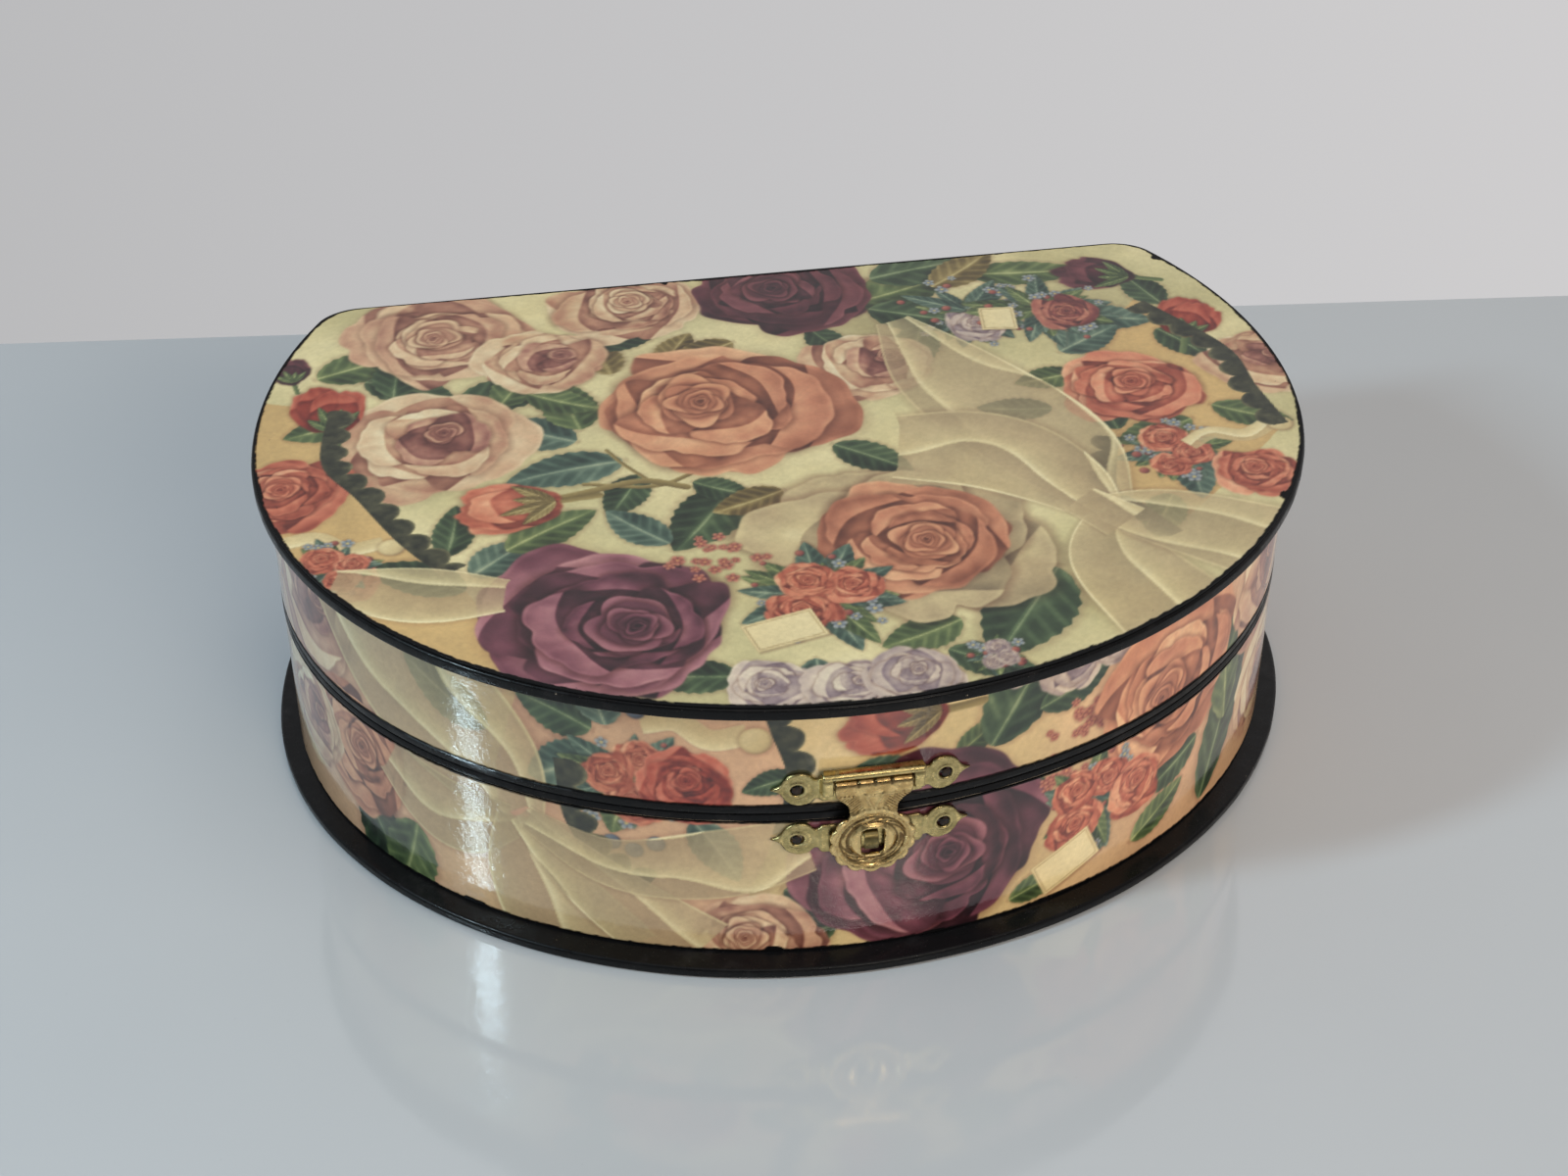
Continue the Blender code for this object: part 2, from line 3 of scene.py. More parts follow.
import bmesh
import bpy
import numpy as np
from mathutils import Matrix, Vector
from mathutils.geometry import delaunay_2d_cdt


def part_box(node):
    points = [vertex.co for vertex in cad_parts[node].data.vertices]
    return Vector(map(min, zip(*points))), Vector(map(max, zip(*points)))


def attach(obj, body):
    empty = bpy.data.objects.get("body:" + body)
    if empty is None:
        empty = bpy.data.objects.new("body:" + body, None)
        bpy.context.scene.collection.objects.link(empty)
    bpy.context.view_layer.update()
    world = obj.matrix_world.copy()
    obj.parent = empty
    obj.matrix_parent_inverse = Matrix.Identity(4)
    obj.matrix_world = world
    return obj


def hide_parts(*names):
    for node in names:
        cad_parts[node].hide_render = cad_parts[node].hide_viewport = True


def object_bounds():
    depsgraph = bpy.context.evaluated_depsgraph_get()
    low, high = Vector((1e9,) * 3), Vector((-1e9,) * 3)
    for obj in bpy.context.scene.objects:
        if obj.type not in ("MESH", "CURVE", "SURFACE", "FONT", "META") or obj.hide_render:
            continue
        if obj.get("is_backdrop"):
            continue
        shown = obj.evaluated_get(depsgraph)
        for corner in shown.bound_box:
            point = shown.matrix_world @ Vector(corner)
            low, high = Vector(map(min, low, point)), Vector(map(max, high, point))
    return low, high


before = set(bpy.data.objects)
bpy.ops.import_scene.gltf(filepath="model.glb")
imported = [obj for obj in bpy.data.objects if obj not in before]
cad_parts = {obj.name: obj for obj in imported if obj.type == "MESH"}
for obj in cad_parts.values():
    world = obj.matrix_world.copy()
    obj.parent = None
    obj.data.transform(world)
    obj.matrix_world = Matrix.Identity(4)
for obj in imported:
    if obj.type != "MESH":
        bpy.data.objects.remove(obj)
cad_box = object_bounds()

# ---------------------------------------------------------------- measures, in metres

LOW, HIGH = 0, 1


def span(node, axis):
    """Lowest and highest place of a CAD node along an axis."""
    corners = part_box(node)
    return corners[LOW][axis], corners[HIGH][axis]


HALF_WIDTH = span("base_wall", 0)[HIGH]
SKIN = span("base_wall_paper", 0)[HIGH] - HALF_WIDTH
PAPER = 0.0004
FIT = SKIN - PAPER
FRONT_Y = span("base_wall_paper", 1)[LOW]
FRONT_DEPTH, BACK_DEPTH = 0.1252, 0.0772  # of the wall, from its widest line
WIDEST_Y = FRONT_Y + SKIN + FRONT_DEPTH
BACK_SWEEP = 0.1429
CORNER_RADIUS = 0.011
WALL = 0.003
BAND, BAND_ROUND = 0.00045, 0.0003  # thickness of the black strips, and the rounding of their edges
BOARD_ROUND = 0.0009
BASE_OVERHANG = (0.0065, 0.0081, 0.0037)  # side, front, back
LID_OVERHANG = (0.0042, 0.0105, 0.0027)
PRINT_INSET = 0.0006  # of the lid's print, from its board's edge

FLOOR_TOP = span("base_board", 2)[HIGH]
LID_UNDER, LID_TOP = span("lid_board", 2)
BASE_RIM = span("base_rim_band", 2)
LID_RIM = span("lid_rim_band", 2)
BASE_PRINT = span("base_wall_paper", 2)
LID_PRINT = span("lid_wall_paper", 2)
TOP_PRINT = span("lid_top_paper", 2)

METAL = 0.0009
PIN = Vector([sum(pair) / 2 for pair in zip(*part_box("hasp_pin"))])
PIN_OUT = FRONT_Y - PIN.y
CLASP_X = PIN.x
BARREL_R, BARREL_HALF = 0.00175, 0.0103
HOUSING_HALF = 0.0142
PIN_R = span("hasp_pin", 2)[HIGH] - PIN.z
CATCH_Z = sum(span("catch_plate_brad_left", 2)) / 2
HASP_Z = sum(span("hasp_plate_brad_left", 2)) / 2
HOLE_X, SINK_R = 0.0197, 0.0017
EYE_DROP, DISC_R, SCALLOPS = 0.0199, 0.0112, 14
EYE_HALF = (0.0031, 0.0047)
FLAP_LEAN = 0.0625
ROLL, THINNEST = 0.00028, 0.00015  # of stamped metal: its rolled edges, and its least thickness
HOLLOW, RELIEF = 0.0004, 0.0009  # how deep its back counts as, and the relief from tarnished to rubbed

MM = 0.001
PITCH = 0.4  # of the printed sheets' vertices, in millimetres
INK_PITCH = 0.35  # of the painted grids
STAMP = 0.0003  # of the stamped metal's vertices, in metres

# ---------------------------------------------------------------- the print


def tones(*percents):
    """A palette from dark to light: the red, green and blue of each tone, in hundredths."""
    return np.array(percents, np.float32).reshape(-1, 3) / 100


GROUND = tones(66, 61, 44,  76, 72, 53,  84, 79, 60,  88, 84, 67)
PEACHES = tones(36, 19, 14,  58, 35, 26,  74, 49, 37,  83, 61, 46,  90, 74, 57)
WINES = tones(12, 6, 8,  25, 13, 16,  42, 23, 28,  60, 39, 42,  74, 54, 54)
MAROONS = tones(12, 5, 7,  24, 11, 14,  36, 18, 21,  47, 26, 28,  58, 37, 38)
PINKS = tones(42, 25, 21,  63, 44, 36,  77, 60, 48,  85, 73, 58,  91, 83, 68)
IVORIES = tones(46, 28, 23,  68, 49, 39,  79, 65, 51,  86, 77, 62,  91, 86, 72)
CORALS = tones(38, 15, 12,  60, 29, 22,  75, 43, 33,  83, 56, 43,  90, 71, 56)
REDS = tones(28, 8, 7,  50, 17, 13,  65, 29, 22,  76, 42, 33,  83, 57, 46)
LILACS = tones(40, 33, 36,  56, 49, 50,  69, 62, 58,  80, 73, 66,  87, 82, 72)
CREAMS = tones(45, 36, 26,  66, 57, 41,  79, 71, 52,  86, 79, 60,  90, 85, 68)
SHEERS = tones(46, 40, 31,  60, 53, 40,  71, 63, 48,  80, 73, 55,  92, 87, 69)
MAUVES = tones(30, 16, 15,  47, 28, 25,  62, 42, 36,  76, 59, 48,  86, 74, 59)
GREENS = tones(14, 18, 11,  25, 31, 19,  36, 42, 26,  49, 53, 34,  66, 68, 47)
DARKS = tones(9, 13, 9,  16, 22, 15,  24, 31, 21,  35, 42, 29,  52, 57, 42)
TEALS = tones(13, 19, 17,  22, 30, 26,  33, 41, 35,  45, 52, 44,  60, 64, 53)
BLUES = tones(20, 23, 29,  32, 36, 42,  45, 49, 53,  60, 62, 61,  74, 73, 66)
BERRIES = tones(22, 10, 12,  42, 20, 20,  58, 32, 28,  72, 47, 38,  83, 65, 52)
TWIGS = tones(25, 20, 11,  38, 32, 18,  52, 45, 27,  64, 57, 37,  74, 68, 48)
LACE = tones(9, 10, 7,  16, 17, 12,  25, 25, 18,  36, 35, 25,  48, 46, 33)
TAN = (0.79, 0.66, 0.44)
ROSY = (0.80, 0.64, 0.50)
PALE_EYE, YELLOW_EYE = (0.78, 0.55, 0.38), (0.78, 0.70, 0.45)  # of small flowers
SHADOW = (0.55, 0.42, 0.40)
LATTICE = 64  # points along a noise before it repeats
deg = math.radians


def ramp(tone, stops):
    """Colours for tones from 0 to 1, through evenly spaced stops."""
    stops = np.array(stops, np.float32)
    spot = np.clip(tone, 0.0, 1.0) * (len(stops) - 1)
    low = np.minimum(spot.astype(int), len(stops) - 2)
    part = (spot - low)[..., None]
    return stops[low] * (1 - part) + stops[low + 1] * part


def step(low, high, value):
    """0 below low, 1 above high, and smooth between. With low above high it falls instead."""
    part = np.clip((value - low) / (high - low), 0.0, 1.0)
    return part * part * (3 - 2 * part)


def lattice_noise(x, y, seed):
    """Smooth noise from -1 to 1, one bump per unit of x and y."""
    table = np.random.default_rng(abs(seed)).uniform(-1, 1, (LATTICE, LATTICE)).astype(np.float32)
    column, row = np.floor(x).astype(int), np.floor(y).astype(int)
    right, up = x - column, y - row
    right, up = right * right * (3 - 2 * right), up * up * (3 - 2 * up)
    this, following = column % LATTICE, (column + 1) % LATTICE
    near, far = (
        table[line % LATTICE, this] * (1 - right) + table[line % LATTICE, following] * right
        for line in (row, row + 1)
    )
    return near * (1 - up) + far * up


def noise(x, y, seed, octaves=3):
    """Smooth noise with finer and weaker noises on it."""
    return sum(lattice_noise(x * 2**i, y * 2**i, seed + i) / 2**i for i in range(octaves)) / 1.6


class Sheet:
    """A sheet of printed paper: a grid of colours over a rectangle, in millimetres."""

    def __init__(self, x_low, x_high, y_low, y_high, pitch, seed):
        self.pitch = pitch
        self.x = np.arange(x_low, x_high + pitch * 0.5, pitch, dtype=np.float32)
        self.y = np.arange(y_low, y_high + pitch * 0.5, pitch, dtype=np.float32)
        self.rgb = np.empty((len(self.y), len(self.x), 3), np.float32)
        across, along = np.meshgrid(self.x, self.y)
        mottle = noise(across / 34, along / 34, seed) * 0.5 + 0.5  # over 34 mm
        fleck = noise(across / 2.3, along / 2.3, seed + 9, 2)
        self.rgb[:] = ramp(mottle, GROUND) * (1 + 0.012 * fleck[..., None])

    def grain(self, seed):
        """The press's own unevenness, laid over everything."""
        across, along = np.meshgrid(self.x, self.y)
        fine = noise(across / 0.9, along / 0.9, seed, 2)
        broad = noise(across / 6, along / 6, seed + 3, 3)
        self.rgb *= 1 + 0.045 * fine[..., None] + 0.035 * broad[..., None]

    def near(self, x, y, reach):
        """The part of the sheet within reach of a point: its slices, and each grid point's offset."""
        columns = slice(*np.searchsorted(self.x, (x - reach, x + reach)))
        rows = slice(*np.searchsorted(self.y, (y - reach, y + reach)))
        across, along = np.meshgrid(self.x[columns] - x, self.y[rows] - y)
        return (rows, columns), across, along

    def lay(self, part, cover, colour):
        """Paints a colour over part of the sheet, as thickly as cover says."""
        cover = cover[..., None]
        self.rgb[part] = self.rgb[part] * (1 - cover) + colour * cover

    def fill(self, part, rho, size, tone, colours):
        """Paints a shape of that size whose edge is where rho is 1."""
        soft = self.pitch / size
        self.lay(part, step(1 + soft, 1 - soft, rho), ramp(tone, colours))

    def shade(self, part, depth):
        """Darkens part of the sheet, towards a warm brown."""
        self.rgb[part] *= 1 - depth[..., None] * (1 - np.array(SHADOW, np.float32))


def moved(x, y, way, reach):
    """The point that far from (x, y) in a direction."""
    return x + reach * math.cos(way), y + reach * math.sin(way)


def turned_to(across, along, angle):
    """Offsets along and across a direction."""
    c, s = math.cos(angle), math.sin(angle)
    return across * c + along * s, along * c - across * s


LIGHT_WAY = math.radians(125)  # the print's own light falls from the upper left
SCALLOP = 9.0  # length of a lobe of the edging


def petal(sheet, x, y, way, length, width, colours, rng, lift, shadow):
    """One petal from its base at (x, y), growing that way, with its tip rolled back in a lighter lip.
    lift is how far it stands out, so how light it is; shadow is how dark the cleft round it is."""
    part, across, along = sheet.near(*moved(x, y, way, 0.46 * length), 0.95 * max(length, width) + 2)
    if across.size == 0:
        return
    u, v = turned_to(across, along, way)
    u, v = u / (0.56 * length), v / (0.54 * width)
    angle = np.arctan2(v, u)
    waves = rng.uniform(0, 6.28, 4)
    edge = 1 + 0.07 * np.sin(2 * angle + waves[0]) + 0.06 * np.sin(3 * angle + waves[1])
    edge = edge + 0.030 * np.sin(6 * angle + waves[2]) + 0.012 * np.sin(13 * angle + waves[3])
    notch = 0.16 * np.exp(-((angle - rng.uniform(-0.6, 0.6)) / 0.16) ** 2) * rng.uniform(0, 1)
    radius = np.hypot(u, v) / (edge - notch)
    soft = sheet.pitch / (0.5 * min(length, width))
    sheet.shade(part, shadow * step(1.20, 0.96, radius) * step(-1.2, -0.2, u))
    facing = 0.5 + 0.5 * math.cos(way - LIGHT_WAY)
    bow = rng.uniform(0.30, 0.62) - rng.uniform(0.15, 0.55) * v * v + rng.uniform(-0.45, 0.45) * v
    past = u - bow - 0.05 * np.sin(4 * v + waves[1])
    lip = step(-soft, soft, past)
    hollow = 0.10 + lift * (0.34 + 0.26 * facing) * step(-0.7, 0.5, u) - 0.20 * step(-0.30, 0.0, past)
    rolled = 0.34 + lift * (0.36 + 0.18 * facing) - 0.30 * step(0.0, 0.55, past) * (1.2 - lift)
    streak = np.sin(v * 13 + 3 * lattice_noise(u * 2, v * 2, int(waves[0] * 99)) + waves[1])
    crumple = noise(u * 1.9 + 7, v * 1.9, int(waves[2] * 77), 3)
    tone = hollow * (1 - lip) + rolled * lip + 0.035 * streak + 0.17 * crumple + 0.07 * (1 - v * v)
    tone = tone + 0.10 * step(0.90, 0.97, radius) * step(0.0, 0.6, u)
    sheet.lay(part, step(1 + soft, 1 - soft, radius), ramp(tone, colours))


def heart(sheet, x, y, radius, way, colours, rng, turns=8):
    """A rose's heart: cupped petals that shrink and slip round in a spiral, each over a dark cleft."""
    for i in range(turns):
        share = 1 - i / turns
        r = radius * share**0.9
        slip = way + i * 2.5 + rng.uniform(-0.5, 0.5)
        x, y = moved(x, y, slip, 0.20 * r)
        part, across, along = sheet.near(x, y, 1.5 * r + 1)
        if across.size == 0:
            continue
        u, v = turned_to(across, along, slip)
        angle = np.arctan2(v, u)
        wave = 1 + 0.09 * np.sin(3 * angle + rng.uniform(0, 6)) + 0.06 * np.sin(5 * angle + rng.uniform(0, 6))
        rho = np.hypot(u, v * rng.uniform(1.05, 1.4)) / (r * wave)
        sheet.shade(part, 0.55 * step(1.28, 0.96, rho))
        tone = 0.26 + 0.20 * share + 0.28 * step(0.55, 0.95, rho) * step(-0.5, 0.9, u / r)
        tone = tone - 0.24 * step(0.9, 0.3, rho) * (1 - 0.4 * share)
        tone = tone + 0.10 * noise(u / r + 3, v / r, i + 5, 2)
        sheet.fill(part, rho, max(r, 0.5), tone, colours)


def rose(sheet, x, y, radius, colours, seed, squash, lean, turn):
    """A cabbage rose. Its heart sits off the middle by lean, in radii, and squash flattens it."""
    rng = np.random.default_rng(abs(seed))
    rings = ((5, 1.00, 1.18, 0.14), (4, 0.84, 1.12, 0.45), (4, 0.66, 1.05, 0.6), (3, 0.50, 1.15, 0.6))
    for rank, (count, reach, fat, cleft) in enumerate(rings):
        share = rank / len(rings)
        start = turn + rank * 0.8 + rng.uniform(-0.3, 0.3)
        for i in rng.permutation(count):
            way = start + 2 * math.pi * (i + rng.uniform(-0.2, 0.2)) / count
            out = radius * reach * rng.uniform(0.86, 1.10)
            length = out * math.hypot(math.cos(way), squash * math.sin(way))
            width = out * 1.22 * fat * rng.uniform(0.85, 1.15)
            base = [
                place + radius * aside * (0.35 + 0.65 * share) + 0.05 * radius * rng.uniform(-1, 1)
                for place, aside in zip((x, y), lean)
            ]
            towards = (lean[0] * math.cos(way) + lean[1] * math.sin(way)) / max(math.hypot(*lean), 0.1)
            length *= 0.75 + 0.25 * (1 - 0.55 * towards)
            lift = rng.uniform(0.20, 1.0) - 0.10 * share
            petal(sheet, *base, way, length, width, colours, rng, lift, cleft)
    heart(sheet, x + radius * lean[0], y + radius * lean[1], radius * 0.34, turn + 1.0, colours, rng)


def open_rose(sheet, x, y, radius, colours, seed, squash, turn, throat=None):
    """A looser rose of a few big petals round a small heart, which may be of another colour."""
    throat = colours if throat is None else throat
    rng = np.random.default_rng(abs(seed))
    for rank, (count, reach, cleft) in enumerate(((6, 1.0, 0.12), (5, 0.80, 0.4), (3, 0.5, 0.5))):
        for i in rng.permutation(count):
            way = turn + rank * 0.5 + 2 * math.pi * (i + rng.uniform(-0.25, 0.25)) / count
            flat = math.hypot(math.cos(way), squash * math.sin(way))
            length = radius * reach * flat * rng.uniform(0.85, 1.12)
            lift = rng.uniform(0.3, 1.0)
            shades = colours if rank < 2 else throat
            petal(sheet, x, y, way, length, length * rng.uniform(1.1, 1.5), shades, rng, lift, cleft)
        x, y = x + 0.10 * radius * math.cos(turn), y + 0.06 * radius
    heart(sheet, x, y, radius * 0.20, turn, throat, rng, 5)


def leaf(sheet, x, y, way, length, width, colours, seed, bend=0.0):
    """A rose leaf from its stalk at (x, y): toothed edges, a pale midrib and side veins."""
    part, across, along = sheet.near(*moved(x, y, way, length / 2), 0.62 * length + width)
    u, v = turned_to(across, along, way)
    t = u / length + 0.5
    v = v / (width / 2) - bend * 4 * (t - t * t)
    span = np.clip(np.sin(math.pi * np.clip(t, 0, 1) ** 0.8), 0, 1) ** 0.75
    tooth = 0.09 * (1 - 2 * np.abs((t * 9) % 1 - 0.5))
    body = span * (0.93 + tooth) - np.abs(v)
    soft = sheet.pitch / width
    cover = step(-soft, soft * 1.6, body) * (t > 0) * (t < 1)
    sheet.shade(part, 0.25 * step(-0.30, 0.0, body) * (t > -0.05) * (t < 1.02))
    vein = np.abs((t * 6.5 - np.abs(v) * 1.5) % 1 - 0.5)
    mottle = noise(across / 5, along / 5, seed)
    half = np.where(v > 0, 0.18, -0.03)
    tone = 0.40 + half + 0.20 * mottle - 0.22 * step(0.0, 0.35, 0.5 - vein) * step(0.05, 0.3, np.abs(v))
    sheen = 0.26 * step(0.1, 0.9, noise(t * 3 + 4, v * 1.3, seed + 4, 2))
    midrib = 0.34 * step(0.10, 0.02, np.abs(v)) * step(1.0, 0.7, t)
    tone = tone + sheen + midrib + 0.10 * step(0.25, 0.0, body)
    sheet.lay(part, cover, ramp(tone, colours))


def stem(sheet, points, width, colours):
    """A thin stem through points."""
    spline = smooth_line(points, 14)
    for (x0, y0), (x1, y1) in zip(spline, spline[1:]):
        length = math.hypot(x1 - x0, y1 - y0)
        part, across, along = sheet.near((x0 + x1) / 2, (y0 + y1) / 2, length + width)
        u, v = turned_to(across, along, math.atan2(y1 - y0, x1 - x0))
        away = np.hypot(np.maximum(np.abs(u) - length / 2, 0), v) / (width / 2)
        sheet.fill(part, away, width, 0.5 + 0.35 * v / width, colours)


def smooth_line(points, steps):
    """Points along a Catmull-Rom curve through a few points."""
    line = [np.array(p, float) for p in points]
    line = [2 * line[0] - line[1], *line, 2 * line[-1] - line[-2]]
    made = []
    for a, b, c, d in zip(line, line[1:], line[2:], line[3:]):
        square, cube = 2 * a - 5 * b + 4 * c - d, 3 * b - a - 3 * c + d
        for t in np.arange(steps) / steps:
            made.append(0.5 * (2 * b + (c - a) * t + square * t**2 + cube * t**3))
    return made + [line[-2]]


def bud(sheet, x, y, way, length, colours, seed, green=GREENS):
    """A rosebud on a short stalk, growing that way from its base, with sepals over its foot."""
    rng = np.random.default_rng(abs(seed))
    stem(sheet, [moved(x, y, way, -0.5 * length), (x, y)], length * 0.10, green)
    for tilt, reach in ((0.34, 0.92), (-0.34, 0.88), (0.12, 1.0), (-0.1, 0.86)):
        lift = rng.uniform(0.3, 0.8)
        petal(sheet, x, y, way + tilt, length * reach, length * 0.52, colours, rng, lift, 0.35)
    for tilt in (-0.75, -0.3, 0.2, 0.7):
        size = length * rng.uniform(0.42, 0.62)
        leaf(sheet, *moved(x, y, way, -0.05 * length), way + tilt, size, length * 0.17, green, seed + 5)


def ribbon(sheet, points, width, seed, sheer, folds, colours=SHEERS):
    """A sheer ribbon along a curve: (x, y, share of width) points. Its folds run along it."""
    xs, ys, wide = np.array(smooth_line(points, 12)).T
    wide = wide * width / 2
    middle_x, middle_y = (xs.min() + xs.max()) / 2, (ys.min() + ys.max()) / 2
    part, across, along = sheet.near(middle_x, middle_y, max(np.ptp(xs), np.ptp(ys)) / 2 + width)
    gx, gy = across + middle_x, along + middle_y
    best, side, run, half = (np.full(gx.shape, start, np.float32) for start in (1e9, 0, 0, 1))
    travelled = 0.0
    for i in range(len(xs) - 1):
        dx, dy = xs[i + 1] - xs[i], ys[i + 1] - ys[i]
        length = math.hypot(dx, dy) + 1e-6
        t = np.clip(((gx - xs[i]) * dx + (gy - ys[i]) * dy) / length**2, 0, 1)
        px, py = gx - xs[i] - t * dx, gy - ys[i] - t * dy
        away = np.hypot(px, py)
        w = wide[i] + (wide[i + 1] - wide[i]) * t
        closer = away / w < best
        best = np.where(closer, away / w, best)
        half = np.where(closer, w, half)
        side = np.where(closer, np.sign(dx * py - dy * px) * away / w, side)
        run = np.where(closer, travelled + t * length, run)
        travelled += length
    ends = step(-0.5, 0.5, run) * step(travelled + 0.5, travelled - 0.5, run)
    square = (np.abs(run) > 0.02) & (np.abs(run - travelled) > 0.02)
    soft = sheet.pitch / np.maximum(half, 0.5)
    cover = step(1 + soft, 1 - soft, best) * square * ends
    sheet.shade(part, 0.22 * step(1.18, 0.98, best) * square * ends)
    wave = noise(gx / 17, gy / 17, seed)
    lean = side * folds / 2 + 0.5 * noise(gx / 26, gy / 26, seed + 2, 1)
    saw = (lean + seed * 0.37) % 1
    crease = step(0.0, 0.05, saw) * np.exp(-saw / 0.10)
    thread = np.sin(run * 3.4 + side * half * 3.4) * np.sin(run * 3.4 - side * half * 3.4)
    hem = 0.30 * step(0.93, 0.985, best)
    tone = 0.76 - 0.38 * saw**0.7 + 0.30 * crease + 0.12 * wave + hem + 0.025 * thread
    thick = sheer + (1 - sheer) * np.maximum(step(0.92, 0.98, best), crease) - 0.16 * saw
    sheet.lay(part, cover * np.clip(thick, 0, 1), ramp(tone, colours))


def scalloped(sheet, points, width):
    """A strip of dark edging along a curve, plain on one side and scalloped on the other."""
    spline = smooth_line(points, 10)
    travelled = 0.0
    for (x0, y0), (x1, y1) in zip(spline, spline[1:]):
        length = math.hypot(x1 - x0, y1 - y0)
        part, across, along = sheet.near(x0, y0, width + length)
        u, v = turned_to(across, along, math.atan2(y1 - y0, x1 - x0))
        lobe = width * (0.45 + 0.55 * np.abs(np.sin(math.pi * (travelled + u) / SCALLOP)) ** 0.6)
        cover = step(-sheet.pitch / 2, sheet.pitch / 2, np.minimum(lobe - v, v + 0.15 * width))
        cover = cover * (u >= 0) * (u < length + sheet.pitch)
        fleck = 0.35 * noise((across + x0) / 2.2, (along + y0) / 2.2, 61, 2)
        sheet.lay(part, cover, ramp(0.35 + fleck + 0.4 * step(0.25, 0.0, (lobe - v) / width), LACE))
        travelled += length


def blossom(sheet, x, y, radius, colours, eye, turn):
    """A small five-petalled flower."""
    part, across, along = sheet.near(x, y, radius * 1.3)
    angle = np.arctan2(along, across) + turn
    away = np.hypot(across, along) / radius
    edge = 0.62 + 0.38 * np.abs(np.cos(2.5 * angle))
    soft = sheet.pitch / radius
    sheet.shade(part, 0.3 * step(1.3, 0.9, away))
    tone = 0.35 + 0.5 * away - 0.25 * step(0.75, 1.0, np.abs(np.sin(2.5 * angle)))
    sheet.lay(part, step(edge + soft, edge - soft, away), ramp(tone, colours))
    sheet.lay(part, step(0.24 + soft, 0.24 - soft, away), np.array(eye, np.float32))


def card(sheet, x, y, wide, high, way):
    """A small blank card with a thin ruled border."""
    part, across, along = sheet.near(x, y, 0.75 * max(wide, high))
    u, v = turned_to(across, along, way)
    inset, shadow = (
        np.minimum(wide / 2 - np.abs(u - slip), high / 2 - np.abs(v + slip)) for slip in (0, 0.6))
    sheet.shade(part, 0.4 * step(-0.9, 0.3, shadow))
    tone = 0.80 + 0.10 * u / wide - 0.45 * step(0.35, 0.1, np.abs(inset - 0.9)) - 0.30 * step(0.5, 0.1, inset)
    sheet.lay(part, step(-sheet.pitch / 2, sheet.pitch / 2, inset), ramp(tone, CREAMS))


def scroll(sheet, x, y, length, high, way):
    """A small blank scroll with a curled end."""
    c, s = math.cos(way), math.sin(way)
    ends = [(-0.5, 0.0), (-0.2, 0.10), (0.1, -0.05), (0.42, 0.06)]
    line = [(x + length * (a * c - b * s), y + length * (a * s + b * c), 1.0) for a, b in ends]
    ribbon(sheet, line, high, 3, 1.0, 0.6, CREAMS)
    blob(sheet, *moved(x, y, way, 0.5 * length), high * 0.62, CREAMS, 0.55)


def blob(sheet, x, y, radius, colours, tone=0.5):
    """A small round berry or curl, lit from the upper left."""
    part, across, along = sheet.near(x, y, radius * 1.4 + 0.5)
    away = np.hypot(across, along) / radius
    sheet.shade(part, 0.35 * step(1.35, 0.9, away))
    lit = (along - across) / (radius * 2.2)
    sheet.fill(part, away, radius, tone + 0.35 * lit - 0.2 * step(0.7, 1.0, away), colours)


def sprig(sheet, x, y, reach, colours, seed, count):
    """A spray of tiny blossoms."""
    rng = np.random.default_rng(abs(seed))
    for _ in range(count):
        way, out = rng.uniform(0, 2 * math.pi), reach * math.sqrt(rng.uniform(0, 1))
        spot = x + out * math.cos(way), y + 0.7 * out * math.sin(way)
        blossom(sheet, *spot, rng.uniform(1.3, 2.3), colours, PALE_EYE, way)


def posy(sheet, x, y, size, seed, colours, blooms=3):
    """A posy: a fan of leaves, small flowers and berries round a few little roses."""
    rng = np.random.default_rng(abs(seed))
    for _ in range(24):
        way = rng.uniform(0, 2 * math.pi)
        reach = size * rng.uniform(0.35, 0.78)
        greens = TEALS if rng.uniform() < 0.5 else GREENS
        leaf(sheet, x, y, way, reach, reach * rng.uniform(0.3, 0.45), greens, int(rng.integers(999)))
    for _ in range(26):
        way, out = rng.uniform(0, 2 * math.pi), size * rng.uniform(0.2, 0.66)
        spot = moved(x, y, way, out)
        if rng.uniform() < 0.6:
            blossom(sheet, *spot, rng.uniform(1.4, 2.4), BLUES, YELLOW_EYE, way)
        else:
            blob(sheet, *spot, rng.uniform(0.8, 1.5), BERRIES)
    for way, out, share in ((0.6, 0.26, 0.30), (3.4, 0.30, 0.24), (4.9, 0.24, 0.26))[:blooms]:
        spot = moved(x, y, way + seed, size * out)
        rose(sheet, *spot, size * share, colours, seed + int(100 * share), 0.9, (0.0, 0.05), way)


def border_patch(sheet, points, colour):
    """Fills the ground beyond a strip of scalloped edging with another colour, softly."""
    xs, ys = np.meshgrid(sheet.x, sheet.y)
    patch = inside([points], xs, ys)
    mottle = noise(xs / 21, ys / 21, 77) * 0.5 + 0.5
    tone = np.array(colour, np.float32) * (0.92 + 0.12 * mottle[..., None])
    sheet.rgb[patch] = tone[patch]


def leaves(sheet, plants, seed, wave):
    """Lays down leaves: (x, y, way in degrees, length, width, colours) each. Their bend swings with wave."""
    for i, (x, y, way, length, width, colours) in enumerate(plants):
        leaf(sheet, x, y, deg(way), length, width, colours, seed + i, 0.12 * math.sin(i * wave))


